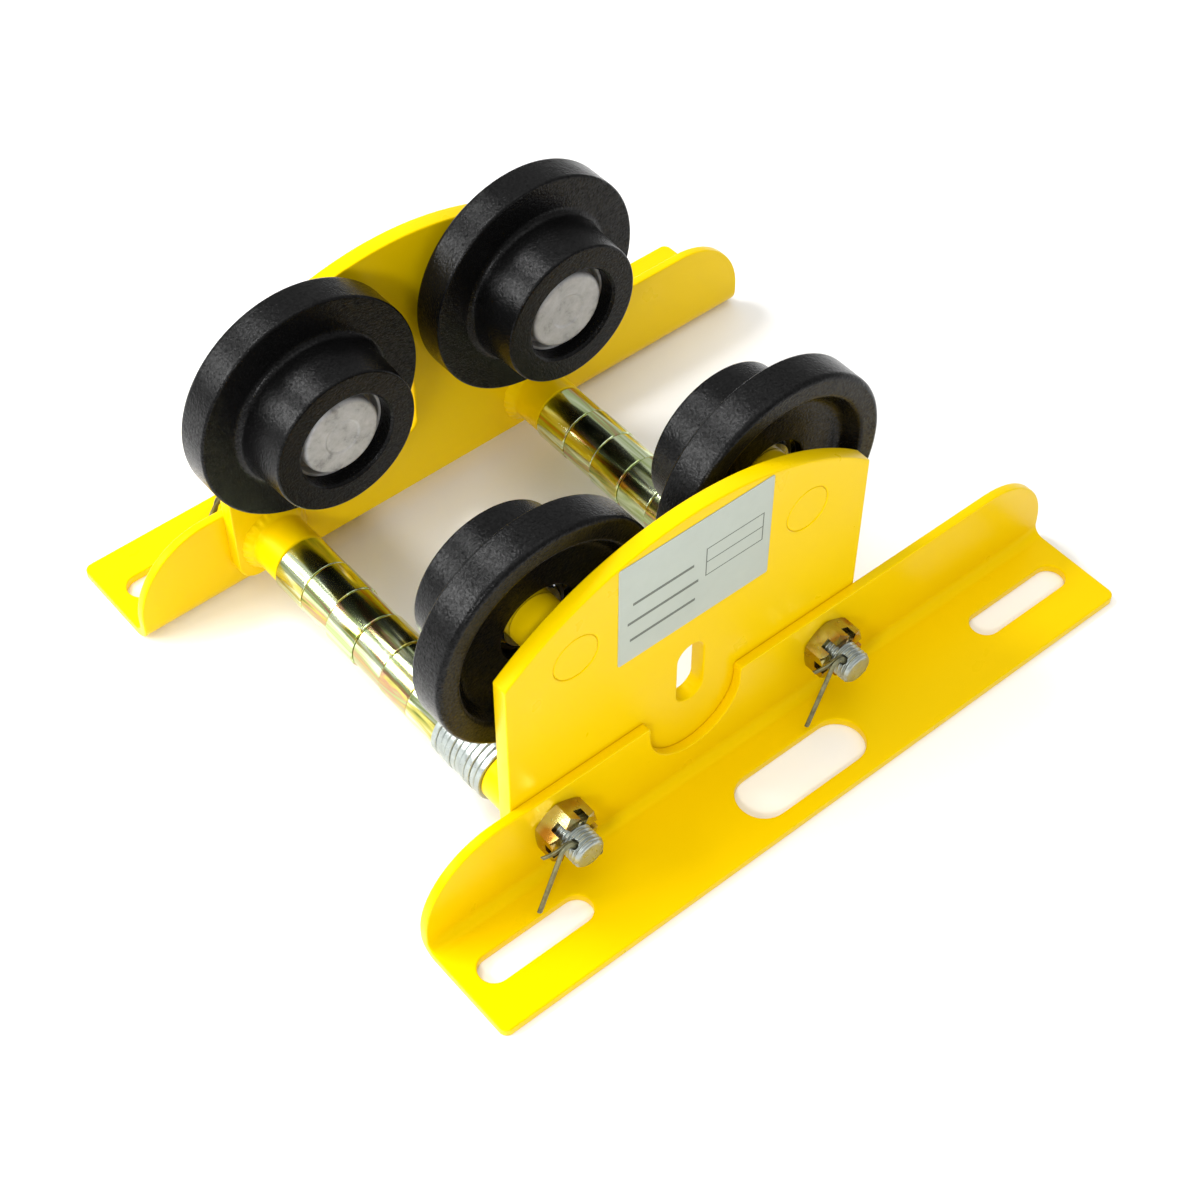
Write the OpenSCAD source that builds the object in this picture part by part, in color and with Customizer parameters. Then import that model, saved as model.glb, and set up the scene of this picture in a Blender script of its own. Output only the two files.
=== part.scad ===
// Manual beam trolley. Two side plates carry two flanged wheels each and are held apart by two
// tie bolts, which also clamp an angle bracket to the outside of each plate.
// X runs along the beam, Y across it and Z up. The origin is on the ground, in the middle of
// the brackets. Front is at -Y and left is at -X.

/* [Side plates] */
// Width of a side plate, along the beam
plate_w = 146; // [138:1:165]
// Thickness of a side plate
plate_t = 6; // [4:0.5:8]
// Height of a side plate's lower edge above the ground
plate_bottom = 10.5; // [8:0.5:12]
// Height of a side plate's highest point above the ground
plate_top = 126; // [120:1:140]
// Radius of a side plate's curved top edge
plate_top_r = 112; // [95:1:150]
// Radius of a side plate's lower corners
plate_corner_r = 8; // [2:0.5:10]
// Distance of the plates' middle from the brackets' middle, along the beam
plate_shift = -27.5; // [-32:0.5:10]
// Width of the upright slot in a side plate
slot_w = 11; // [8:0.5:16]
// Height of the upright slot in a side plate
slot_h = 27; // [20:0.5:34]
// Height of the upright slot's middle above the ground
slot_z = 50.5; // [48:0.5:58]

/* [Brackets] */
// Length of a bracket, along the beam
bracket_len = 275; // [265:1:320]
// Thickness of a bracket's sheet
bracket_t = 3.5; // [3:0.25:5]
// Height of a bracket's upright leg
bracket_h = 40.5; // [40:0.5:50]
// Width of a bracket's foot, from the side plate outward
foot_w = 42.5; // [40:0.5:55]
// Inner radius of a bracket's bend
bend_r = 4; // [2:0.5:5]
// Radius of the upright leg's upper corners
bracket_corner_r = 30; // [10:1:34]
// Radius of the foot's free corners
foot_corner_r = 3; // [1:0.5:8]
// Width of the round-bottomed notch in the upright leg
notch_w = 38; // [24:1:44]
// Height of the notch's bottom above the ground
notch_bottom = 16.5; // [15:0.5:20]
// Length of a small slot in the foot
small_slot_len = 44; // [30:1:50]
// Width of a small slot in the foot
small_slot_w = 11; // [9:0.5:14]
// Distance between the middles of a foot's two small slots
small_slot_spacing = 218; // [200:1:222]
// Distance of a small slot's middle from the side plate
small_slot_out = 22; // [18:0.5:26]
// Length of the large slot in the middle of the foot
large_slot_len = 53; // [40:0.5:80]
// Width of the large slot in the middle of the foot
large_slot_w = 19; // [12:0.5:20]
// Distance of the large slot's middle from the side plate
large_slot_out = 26.75; // [24:0.25:28]

/* [Tie bolts] */
// Diameter of a tie bolt
bolt_d = 12; // [11:0.5:12.5]
// Distance between the two tie bolts
bolt_spacing = 115; // [104:1:118]
// Height of the tie bolts above the ground
bolt_z = 25; // [25:0.5:30]
// Clearance between a tie bolt and the holes that it passes, on each side
bolt_fit = 0.5; // [0.25:0.25:0.75]
// Length of a tie bolt outside the nut
bolt_over = 7.5; // [6:0.5:12]
// Chamfer at a tie bolt's ends
bolt_chamfer = 1; // [0.5:0.25:1.5]

/* [Castle nuts] */
// Width of a castle nut across its flats
nut_af = 18; // [17.5:0.5:20]
// Height of a castle nut
nut_h = 9; // [8:0.5:12]
// Width of a castle nut's slots
nut_slot_w = 3.5; // [3:0.25:4.5]
// Depth of a castle nut's slots
nut_slot_depth = 4; // [2:0.5:5]
// Turn of a castle nut's flats from the beam's direction
nut_turn = 5; // [0:1:30]
// Clearance between a nut's bore and the tie bolt
thread_fit = 0.05; // [0.02:0.01:0.1]

/* [Split pins] */
// Diameter of a split pin's closed legs
pin_d = 2.9; // [2.5:0.1:3]
// Diameter of the split pin's hole in the tie bolt
pin_hole_d = 3.2; // [3.2:0.1:3.6]
// Distance of the split pin from the nut's outer face
pin_out = 3.5; // [2.5:0.25:4]
// Direction in which the split pin's legs leave the bolt, up from the beam's direction
pin_turn = 130; // [120:1:140]
// Length of the split pin's long leg outside its bend
long_leg = 25.6; // [15:0.1:27]
// Angle by which the long leg is bent
long_leg_bend = 119; // [90:1:125]
// Length of the split pin's short leg outside its bend
short_leg = 7; // [5:0.5:10]
// Angle by which the short leg is bent
short_leg_bend = 77; // [60:1:90]
// Distance by which the short leg's end leans towards the plate
short_leg_dip = 2.5; // [0:0.5:2.5]
// Radius of the bend of a leg
leg_bend_r = 2.5; // [2:0.1:3.5]
// Inner radius of the split pin's eye
pin_eye_r = 1.3; // [1:0.1:1.8]

/* [Spacers and washers] */
// Number of spacer tubes on a tie bolt
spacer_count = 6; // [4:1:7]
// Outer diameter of a spacer tube
spacer_d = 22; // [20:0.5:24]
// Bore of a spacer tube
spacer_bore = 13.5; // [13:0.25:15]
// Length of a spacer tube
spacer_len = 15; // [12:0.5:18]
// Number of washers on a tie bolt
washer_count = 10; // [4:1:16]
// Outer diameter of a washer
washer_d = 24; // [22:0.5:26]
// Bore of a washer
washer_bore = 13; // [13:0.25:14]
// Thickness of a washer
washer_t = 2.5; // [2:0.1:3]
// Clearance between neighbouring rings on a tie bolt
stack_fit = 0.04; // [0.02:0.01:0.1]

/* [Bosses] */
// Diameter of a boss round a tie bolt
boss_d = 21.5; // [20:0.5:24]
// Length of a boss
boss_len = 16; // [14:0.5:24]
// Size of the weld bead round a boss
weld_leg = 3; // [2:0.25:4]

/* [Wheels] */
// Distance between the axles of the two wheels on a plate
wheel_spacing = 93; // [88:1:100]
// Height of the wheels' axles above the ground
axle_z = 94.5; // [92:0.5:100]
// Distance of a wheel from its side plate
wheel_gap = 5.5; // [5:0.5:10]
// Diameter of a wheel's flange
flange_d = 84; // [80:0.5:86]
// Width of a wheel's flange
flange_w = 13; // [10:0.5:14]
// Width of a wheel's tread
tread_w = 19.5; // [18:0.5:26]
// Diameter of the tread beside the flange
tread_d = 56; // [52:0.5:60]
// Diameter of the tread at the hub's end
hub_d = 53.5; // [48:0.5:54]
// Radius between tread and flange
tread_fillet_r = 2.5; // [1:0.5:3]
// Radius of the hub's edge
hub_edge_r = 2.4; // [0.8:0.2:3]
// Diameter of the recess that faces the plate
recess_d = 68; // [60:1:72]
// Depth of the recess
recess_depth = 6; // [3:0.5:7]
// Thickness of the lip behind the bearing
lip_t = 3; // [2:0.5:4]
// Diameter of the hole in the lip
lip_hole_d = 28; // [26:0.5:30]

/* [Bearings] */
// Bore of a bearing
bearing_bore = 15; // [14:0.5:15.5]
// Outer diameter of a bearing
bearing_d = 35; // [34:0.5:36]
// Width of a bearing
bearing_w = 11; // [10:0.5:12]
// Number of balls in a bearing
ball_count = 8; // [6:1:9]
// Diameter of a ball
ball_d = 5.95; // [5.5:0.05:6.2]
// Clearance between a ball and its rings and cage
ball_fit = 0.06; // [0.02:0.01:0.1]
// Radial depth of the ball groove in a ring
groove_depth = 1.4; // [1:0.1:1.6]
// Wall of the cage, in and out
cage_t = 1.2; // [1:0.1:1.6]

/* [Axles and circlips] */
// Diameter of an axle's end in the side plate
axle_seat_d = 17; // [16:0.5:17.5]
// Diameter of an axle's collar between plate and bearing
collar_d = 18; // [17.5:0.5:20]
// Length of an axle beyond the bearing
axle_over = 4; // [3:0.5:5]
// Clearance of a ring or an axle end on its seat
seat_fit = 0.02; // [0.01:0.01:0.05]
// Thickness of the circlip in a wheel
wheel_clip_t = 1.5; // [1.2:0.1:1.8]
// Radial width of the circlip in a wheel
wheel_clip_w = 3; // [2.5:0.1:3.2]
// Thickness of the circlip on an axle
axle_clip_t = 1; // [0.8:0.1:1.2]
// Radial width of the circlip on an axle
axle_clip_w = 2.4; // [2:0.1:2.6]
// Depth of a circlip's groove in a wheel
wheel_groove = 1; // [0.8:0.1:1.2]
// Depth of a circlip's groove in an axle
axle_groove = 0.35; // [0.3:0.05:0.5]
// Clearance of a circlip in its groove
clip_fit = 0.1; // [0.05:0.01:0.15]

/* [Dust caps] */
// Diameter of a dust cap's raised middle
cap_d = 28.6; // [26:0.2:29]
// Depth of a dust cap's top below the hub's end
cap_sink = 2.6; // [1:0.1:3]
// Thickness of a dust cap's sheet
cap_t = 1; // [0.8:0.1:1.2]
// Depth of a dust cap's rim below the hub's end
cap_rim_sink = 6; // [5:0.5:8]
// Diameter of the shallow dimple in a dust cap
cap_dimple_d = 12; // [8:1:16]
// Depth of the shallow dimple in a dust cap
cap_dimple = 0.4; // [0.2:0.1:0.6]

/* [Label plate] */
// Width of the label plate
label_w = 61; // [50:1:70]
// Height of the label plate
label_h = 44; // [36:1:46]
// Thickness of the label plate
label_t = 0.3; // [0.2:0.1:1]
// Height of the label plate's middle above the ground
label_z = 99.2; // [96:0.1:102]

/* [Hidden] */
SIDES = ["front", "back"];
ENDS = ["left", "right"];
CORNERS = [for (side = SIDES, end = ENDS) str(side, "_", end)];
CORNER_PIECES = [
    "wheel", "dust_cap", "wheel_circlip", "bearing_outer_ring", "bearing_balls", "bearing_cage",
    "bearing_inner_ring", "axle", "axle_circlip", "boss", "castle_nut", "split_pin"
];
$fn = 96;
cut = 1;

// Across the beam: distances from the trolley's middle plane
stack_len = spacer_count * spacer_len + washer_count * washer_t;
plate_gap = stack_len + 2 * boss_len;
plate_in = plate_gap / 2;
plate_out = plate_in + plate_t;
bracket_out = plate_out + bracket_t;
nut_out = bracket_out + nut_h;
bolt_end = nut_out + bolt_over;
pin_y = nut_out + pin_out;
bolt_hole_d = bolt_d + 2 * bolt_fit;

// Along a wheel's axle: distances from the side plate's inner face
web_u = wheel_gap + recess_depth;
bearing_u = web_u + lip_t;
bearing_end_u = bearing_u + bearing_w;
flange_face_u = wheel_gap + flange_w;
hub_u = flange_face_u + tread_w;
axle_end_u = bearing_end_u + axle_over;
cap_seat_u = bearing_end_u + wheel_clip_t;
cap_top_u = hub_u - cap_sink;
cap_rim_u = hub_u - cap_rim_sink;

// Bearing radii
pitch_r = (bearing_bore + bearing_d) / 4;
race_r = ball_d / 2 + ball_fit;
inner_land_r = pitch_r - race_r + groove_depth;
outer_land_r = pitch_r + race_r - groove_depth;

// Round stretch of an outline from angle a to angle b, about a centre
function arc(centre, r, a, b, steps = 6) =
    [for (i = [0:steps]) centre + r * [cos(a + (b - a) * i / steps), sin(a + (b - a) * i / steps)]];

// Mirrors a front piece to the back side
module on_side(side) {
    if (side == "front") children();
    else mirror([0, 1, 0]) children();
}

// Sign along the beam of the left or right piece
function along(end) = end == "left" ? -1 : 1;

// Puts a piece drawn in X and Z, with its thickness along -Y, at a distance from the middle
module upright(y) {
    translate([0, -y, 0]) rotate([90, 0, 0]) children();
}

// Puts a piece whose axis starts at the side plate's inner face onto a wheel's axle
module at_axle(side, end) {
    on_side(side)
        translate([plate_shift + along(end) * wheel_spacing / 2, -plate_in, axle_z])
            rotate([-90, 0, 0]) children();
}

// Puts a piece whose axis points outward at a distance from the middle onto a tie bolt
module at_bolt(side, end, y) {
    on_side(side)
        translate([plate_shift + along(end) * bolt_spacing / 2, -y, bolt_z])
            rotate([90, 0, 0]) children();
}

// Slot with round ends, along X
module obround(len, w) {
    square([len - w, w], center = true);
    for (x = [-1, 1]) translate([x * (len - w) / 2, 0]) circle(d = w);
}

module plate_outline() {
    intersection() {
        union() {
            translate([-plate_w / 2, plate_bottom + plate_corner_r])
                square([plate_w, plate_top - plate_bottom]);
            translate([-plate_w / 2 + plate_corner_r, plate_bottom])
                square([plate_w - 2 * plate_corner_r, plate_top - plate_bottom]);
            for (x = [-1, 1])
                translate([x * (plate_w / 2 - plate_corner_r), plate_bottom + plate_corner_r])
                    circle(plate_corner_r);
        }
        translate([0, plate_top - plate_top_r]) circle(plate_top_r, $fn = 240);
    }
}

module side_plate() {
    color("gold")
        translate([plate_shift, 0, 0]) upright(plate_in) linear_extrude(plate_t) difference() {
            plate_outline();
            translate([0, slot_z]) rotate(90) obround(slot_h, slot_w);
            for (x = [-1, 1]) {
                translate([x * bolt_spacing / 2, bolt_z]) circle(d = bolt_hole_d);
                translate([x * wheel_spacing / 2, axle_z]) circle(d = axle_seat_d + 2 * seat_fit);
            }
        }
}

// Upright leg's outline, seen from the front
module leg_outline() {
    difference() {
        union() {
            translate([-bracket_len / 2, 0]) square([bracket_len, bracket_h - bracket_corner_r]);
            translate([-bracket_len / 2 + bracket_corner_r, 0])
                square([bracket_len - 2 * bracket_corner_r, bracket_h]);
            for (x = [-1, 1])
                translate([x * (bracket_len / 2 - bracket_corner_r), bracket_h - bracket_corner_r])
                    circle(bracket_corner_r);
        }
        translate([plate_shift, notch_bottom + notch_w / 2]) {
            circle(d = notch_w);
            translate([-notch_w / 2, 0]) square([notch_w, bracket_h]);
        }
        for (x = [-1, 1])
            translate([plate_shift + x * bolt_spacing / 2, bolt_z]) circle(d = bolt_hole_d);
    }
}

// Foot's outline, seen from above, with the side plate's outer face at y = 0
module foot_outline() {
    difference() {
        union() {
            translate([-bracket_len / 2, -foot_w + foot_corner_r])
                square([bracket_len, foot_w - foot_corner_r]);
            translate([-bracket_len / 2 + foot_corner_r, -foot_w])
                square([bracket_len - 2 * foot_corner_r, foot_w]);
            for (x = [-1, 1])
                translate([x * (bracket_len / 2 - foot_corner_r), -foot_w + foot_corner_r])
                    circle(foot_corner_r);
        }
        for (x = [-1, 1])
            translate([x * small_slot_spacing / 2, -small_slot_out])
                obround(small_slot_len, small_slot_w);
        translate([0, -large_slot_out]) obround(large_slot_len, large_slot_w);
    }
}

// Section of the bent sheet: y along X and z along Y, with the plate's outer face at 0
module angle_section() {
    bend_out = bend_r + bracket_t;
    difference() {
        union() {
            translate([-foot_w, 0]) square([foot_w - bend_out, bracket_t]);
            translate([-bracket_t, bend_out]) square([bracket_t, bracket_h - bend_out]);
            translate([-bend_out, bend_out]) circle(bend_out);
        }
        translate([-bend_out, bend_out]) circle(bend_r);
        translate([-2 * bend_out, bend_out]) square([bend_out * 2 - bracket_t, bend_out]);
        translate([-2 * bend_out, bracket_t]) square([bend_out, bend_out]);
    }
}

module bracket() {
    color("gold") translate([0, -plate_out, 0]) intersection() {
        translate([-bracket_len / 2, 0, 0])
            rotate([90, 0, 90]) linear_extrude(bracket_len) angle_section();
        upright(-cut) linear_extrude(foot_w + 2 * cut) leg_outline();
        translate([0, 0, -cut]) linear_extrude(bracket_h + 2 * cut) foot_outline();
    }
}

module label_plate() {
    color("honeydew")
        translate([plate_shift, 0, label_z]) upright(plate_out)
            linear_extrude(label_t) square([label_w, label_h], center = true);
}

module tie_bolt(end) {
    color("silver") difference() {
        at_bolt("front", end, -bolt_end) rotate_extrude() polygon([
            [0, 0],
            [bolt_d / 2 - bolt_chamfer, 0],
            [bolt_d / 2, bolt_chamfer],
            [bolt_d / 2, 2 * bolt_end - bolt_chamfer],
            [bolt_d / 2 - bolt_chamfer, 2 * bolt_end],
            [0, 2 * bolt_end]
        ]);
        for (side = SIDES)
            at_bolt(side, end, pin_y) rotate(pin_turn) rotate([0, 90, 0])
                cylinder(d = pin_hole_d, h = 2 * bolt_d, center = true, $fn = 32);
    }
}

// Loose rings hang on the bolt, each rolled a little to one side
module hung_ring(end, y, od, bore, len, roll) {
    drop = (bore - bolt_d) / 2 - seat_fit;
    at_bolt("front", end, y)
        translate([drop * sin(roll), -drop * cos(roll), stack_fit / 2]) difference() {
            cylinder(d = od, h = len - stack_fit);
            translate([0, 0, -cut]) cylinder(d = bore, h = len + 2 * cut);
        }
}

module spacer_tubes(end) {
    first_y = -(plate_in - boss_len);
    color("khaki") for (i = [0:spacer_count - 1])
        hung_ring(end, first_y + i * spacer_len, spacer_d, spacer_bore, spacer_len, 25 * sin(i * 137));
}

module washers(end) {
    first_y = plate_in - boss_len - washer_count * washer_t;
    color("lightgray") for (i = [0:washer_count - 1])
        hung_ring(end, first_y + i * washer_t, washer_d, washer_bore, washer_t, 30 * sin(i * 97));
}

// Boss with the weld bead that joins it to the plate
module boss() {
    color("gold") rotate_extrude() polygon(concat(
        [[bolt_hole_d / 2, 0], [boss_d / 2 + weld_leg, 0]],
        arc([boss_d / 2, 0], weld_leg, 10, 80),
        [[boss_d / 2, weld_leg], [boss_d / 2, boss_len], [bolt_hole_d / 2, boss_len]]
    ));
}

module castle_nut() {
    corner_r = nut_af / 2 / cos(30);
    edge = corner_r - nut_af / 2;
    color("darkkhaki") difference() {
        intersection() {
            rotate(nut_turn + 30) cylinder(r = corner_r, h = nut_h, $fn = 6);
            rotate_extrude() polygon([
                [0, 0],
                [nut_af / 2, 0],
                [corner_r, edge / 2],
                [corner_r, nut_h - edge],
                [nut_af / 2, nut_h],
                [0, nut_h]
            ]);
        }
        translate([0, 0, -cut]) cylinder(d = bolt_d + 2 * thread_fit, h = nut_h + 2 * cut);
        for (i = [0:2])
            rotate(nut_turn + i * 60) translate([0, 0, nut_h])
                cube([2 * nut_af, nut_slot_w, 2 * nut_slot_depth], center = true);
    }
}

// A split pin is one wire of half-round section. Each station of its path is a point on the
// wire's flat face, the heading there and the direction away from the flat face. The pin lies
// along x with its eye at -x, and the long leg is on the outer side, +z.
function leg_bend(turn, z, heading, away) = [
    for (i = [0:7]) let (a = turn * i / 7) [
        [bolt_d / 2 + 1 + leg_bend_r * sin(a), leg_bend_r * (1 - cos(a)), z],
        heading * [cos(a), sin(a), 0],
        away
    ]
];
function leg_tip(turn, z, len, heading, away) = [[
    [bolt_d / 2 + 1 + leg_bend_r * sin(turn) + len * cos(turn),
     leg_bend_r * (1 - cos(turn)) + len * sin(turn), z],
    heading * [cos(turn), sin(turn), 0],
    away
]];
function eye_station(a, centre_x) = [
    [centre_x + pin_eye_r * cos(a), 0, pin_eye_r * sin(a)],
    [-sin(a), 0, cos(a)],
    [cos(a), 0, sin(a)]
];
function backwards(list) = [for (i = [len(list) - 1:-1:0]) list[i]];
function pin_path() = let (
    gap = (pin_hole_d - pin_d) / 5,
    neck_x = -bolt_d / 2 - 0.5,
    centre_x = neck_x - pin_eye_r * 1.55,
    open = acos(1 / 1.55),
    half = (90 - open) / 2
) concat(
    leg_tip(long_leg_bend, gap, long_leg, -1, [0, 0, 1]),
    backwards(leg_bend(long_leg_bend, gap, -1, [0, 0, 1])),
    [[[neck_x, 0, gap], [-cos(half), 0, sin(half)], [sin(half), 0, cos(half)]]],
    [for (i = [0:10]) eye_station(open + (360 - 2 * open) * i / 10, centre_x)],
    [[[neck_x, 0, -gap], [cos(half), 0, sin(half)], [sin(half), 0, -cos(half)]]],
    leg_bend(short_leg_bend, -gap, 1, [0, 0, -1]),
    leg_tip(short_leg_bend, -gap - short_leg_dip, short_leg, 1, [0, 0, -1])
);

module split_pin() {
    sides = 6;
    per_ring = sides + 1;
    path = pin_path();
    points = [
        for (s = path, k = [0:sides]) let (a = 180 * k / sides)
            s[0] + pin_d / 2 * (cos(a) * cross(s[1], s[2]) + sin(a) * s[2])
    ];
    last = (len(path) - 1) * per_ring;
    start_face = [for (k = [0:sides]) k];
    end_face = [for (k = [sides:-1:0]) last + k];
    walls = [
        for (i = [0:len(path) - 2], k = [0:sides]) let (
            a = i * per_ring + k,
            b = i * per_ring + (k + 1) % per_ring
        ) each [[b, a, a + per_ring], [b, a + per_ring, b + per_ring]]
    ];
    color("dimgray") rotate(pin_turn)
        polyhedron(points, concat([start_face, end_face], walls));
}

module wheel() {
    tread_r = tread_d / 2;
    rim_r = flange_d / 2;
    bore_r = bearing_d / 2 + seat_fit;
    clip_r = bearing_d / 2 + wheel_groove;
    clip_end_u = bearing_end_u + wheel_clip_t + clip_fit;
    color("dimgray") rotate_extrude($fn = 180) polygon(concat(
        [[lip_hole_d / 2, bearing_u], [lip_hole_d / 2, web_u]],
        arc([recess_d / 2 - 3.5, web_u - 2], 2, 90, 20),
        [[recess_d / 2, wheel_gap]],
        arc([rim_r - 2, wheel_gap + 1.5], 1.5, -90, 0),
        [[rim_r, wheel_gap + flange_w / 2]],
        arc([rim_r - 2, flange_face_u - 1.5], 1.5, 0, 90),
        arc([tread_r + tread_fillet_r, flange_face_u + tread_fillet_r], tread_fillet_r, 270, 180),
        arc([hub_d / 2 - hub_edge_r, hub_u - hub_edge_r], hub_edge_r, 0, 90),
        [
            [bore_r + 0.8, hub_u],
            [bore_r, hub_u - 0.8],
            [bore_r, clip_end_u],
            [clip_r, clip_end_u],
            [clip_r, bearing_end_u],
            [bore_r, bearing_end_u],
            [bore_r, bearing_u]
        ]
    ));
}

// Half of a bearing ring's groove is cut by a ball-shaped channel
module bearing_ring(inner_r, outer_r) {
    rotate_extrude() difference() {
        translate([inner_r, bearing_u]) square([outer_r - inner_r, bearing_w]);
        translate([pitch_r, bearing_u + bearing_w / 2]) circle(race_r);
    }
}

module bearing_outer_ring() {
    color("lightsteelblue") bearing_ring(outer_land_r, bearing_d / 2);
}

module bearing_inner_ring() {
    color("lightsteelblue") bearing_ring(bearing_bore / 2, inner_land_r);
}

module each_ball() {
    for (i = [0:ball_count - 1])
        rotate(i * 360 / ball_count)
            translate([pitch_r, 0, bearing_u + bearing_w / 2]) children();
}

module bearing_balls() {
    color("white") each_ball() sphere(d = ball_d);
}

module bearing_cage() {
    cage_w = ball_d + 2 * cage_t;
    color("peru") difference() {
        translate([0, 0, bearing_u + (bearing_w - cage_w) / 2]) difference() {
            cylinder(r = pitch_r + cage_t / 2, h = cage_w);
            translate([0, 0, -cut]) cylinder(r = pitch_r - cage_t / 2, h = cage_w + 2 * cut);
        }
        each_ball() rotate([0, 90, 0]) cylinder(r = race_r, h = 4 * cage_t, center = true);
    }
}

module axle() {
    journal_r = bearing_bore / 2 - seat_fit;
    clip_r = bearing_bore / 2 - axle_groove;
    clip_end_u = bearing_end_u + axle_clip_t + clip_fit;
    color("gold") rotate_extrude() polygon([
        [0, -plate_t],
        [axle_seat_d / 2 - 0.4, -plate_t],
        [axle_seat_d / 2, -plate_t + 0.4],
        [axle_seat_d / 2, 0],
        [collar_d / 2, 0],
        [collar_d / 2, bearing_u],
        [journal_r, bearing_u],
        [journal_r, bearing_end_u],
        [clip_r, bearing_end_u],
        [clip_r, clip_end_u],
        [journal_r, clip_end_u],
        [journal_r, axle_end_u - 1],
        [journal_r - 1, axle_end_u],
        [0, axle_end_u]
    ]);
}

// Open ring with a drilled lug at each side of its gap, on the inside or the outside
module circlip(inner_r, outer_r, t, lug_r, lug_at) {
    gap_angle = 34;
    linear_extrude(t) difference() {
        union() {
            difference() {
                circle(outer_r);
                circle(inner_r);
                polygon([[0, 0], for (a = [-gap_angle / 2, 0, gap_angle / 2])
                    2 * outer_r * [cos(a), sin(a)]]);
            }
            for (s = [-1, 1]) rotate(s * (gap_angle / 2 + 3)) translate([lug_at, 0]) circle(lug_r);
        }
        for (s = [-1, 1])
            rotate(s * (gap_angle / 2 + 3)) translate([lug_at, 0]) circle(lug_r * 0.45, $fn = 24);
    }
}

module wheel_circlip() {
    outer_r = bearing_d / 2 + wheel_groove - clip_fit;
    inner_r = outer_r - wheel_clip_w;
    color("slategray") translate([0, 0, bearing_end_u])
        circlip(inner_r, outer_r, wheel_clip_t, 2, inner_r + 0.4);
}

module axle_circlip() {
    inner_r = bearing_bore / 2 - axle_groove + clip_fit;
    outer_r = inner_r + axle_clip_w;
    color("slategray") translate([0, 0, bearing_end_u])
        circlip(inner_r, outer_r, axle_clip_t, 1.6, outer_r - 0.4);
}

// Pressed cap: raised middle, channel round it and a rim that grips the wheel's bore
module dust_cap() {
    rim_r = bearing_d / 2;
    wall_r = cap_d / 2;
    color("gainsboro") rotate_extrude() polygon(concat(
        [
            [0, cap_top_u - cap_dimple - cap_t],
            [cap_dimple_d / 2, cap_top_u - cap_dimple - cap_t],
            [cap_dimple_d / 2 + 1, cap_top_u - cap_t],
            [wall_r - cap_t - 0.8, cap_top_u - cap_t],
            [wall_r - cap_t, cap_top_u - cap_t - 0.8],
            [wall_r - cap_t, cap_seat_u],
            [rim_r, cap_seat_u],
            [rim_r, cap_rim_u],
            [rim_r - cap_t, cap_rim_u],
            [rim_r - cap_t, cap_seat_u + cap_t],
            [wall_r, cap_seat_u + cap_t]
        ],
        arc([wall_r - 1.5, cap_top_u - 1.5], 1.5, 0, 90),
        [
            [cap_dimple_d / 2 + 1, cap_top_u],
            [cap_dimple_d / 2, cap_top_u - cap_dimple],
            [0, cap_top_u - cap_dimple]
        ]
    ));
}

for (side = SIDES) {
    on_side(side) side_plate();
    on_side(side) bracket();
}
label_plate();
for (end = ENDS) {
    tie_bolt(end);
    spacer_tubes(end);
    washers(end);
}
for (side = SIDES, end = ENDS) {
    corner = str(side, "_", end);
    at_axle(side, end) wheel();
    at_axle(side, end) dust_cap();
    at_axle(side, end) wheel_circlip();
    at_axle(side, end) bearing_outer_ring();
    at_axle(side, end) bearing_balls();
    at_axle(side, end) bearing_cage();
    at_axle(side, end) bearing_inner_ring();
    at_axle(side, end) axle();
    at_axle(side, end) axle_circlip();
    at_bolt(side, end, plate_in) mirror([0, 0, 1]) boss();
    at_bolt(side, end, bracket_out) castle_nut();
    at_bolt(side, end, pin_y) split_pin();
}
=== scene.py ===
"""Looks of the manual beam trolley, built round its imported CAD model."""

import bmesh
import bpy
import numpy as np
from bpy.props import FloatProperty, FloatVectorProperty, IntProperty, PointerProperty
from mathutils import Euler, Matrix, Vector
from mathutils.geometry import delaunay_2d_cdt


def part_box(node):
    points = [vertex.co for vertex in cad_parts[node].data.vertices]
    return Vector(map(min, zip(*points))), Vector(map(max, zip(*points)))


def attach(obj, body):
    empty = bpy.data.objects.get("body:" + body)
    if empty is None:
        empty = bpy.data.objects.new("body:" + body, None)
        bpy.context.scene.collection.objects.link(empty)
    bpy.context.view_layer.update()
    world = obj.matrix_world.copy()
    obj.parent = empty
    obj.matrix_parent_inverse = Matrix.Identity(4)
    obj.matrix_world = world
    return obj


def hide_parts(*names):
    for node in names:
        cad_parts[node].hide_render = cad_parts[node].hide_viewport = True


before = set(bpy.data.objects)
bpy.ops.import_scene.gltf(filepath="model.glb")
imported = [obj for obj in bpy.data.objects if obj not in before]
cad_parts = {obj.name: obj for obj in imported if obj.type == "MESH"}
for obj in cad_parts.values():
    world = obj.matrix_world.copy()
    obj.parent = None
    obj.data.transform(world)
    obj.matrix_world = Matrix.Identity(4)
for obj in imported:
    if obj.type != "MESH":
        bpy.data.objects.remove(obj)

bl_info = {
    "name": "Beam Trolley",
    "version": (1, 0, 0),
    "blender": (4, 5, 0),
    "location": "View3D > Sidebar > Trolley",
    "description": "Dresses the CAD model of a manual beam trolley",
    "category": "Object",
}

MM = 0.001
SIDES = ("front", "back")
ENDS = ("left", "right")
CORNERS = [(side, end) for side in SIDES for end in ENDS]

# Clearance between parts that touch on the real trolley
FIT = 0.02 * MM
# Width of the strip beside a round edge that keeps the flat next to it flat
FLAT_MARGIN = 0.3 * MM
# Two points of an outline closer than this are one point
SAME_POINT = 2e-7
# A corner that turns by less than this angle is straight
STRAIGHT = 1e-4
# Points closer than this touch
TOUCHING = 1e-7
# Points around a turned piece whose own sizes name no number of them
SEGMENTS = 96
# Turned pieces count the length along their profile in units of a centimetre
RUNS_PER_METRE = 100


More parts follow.
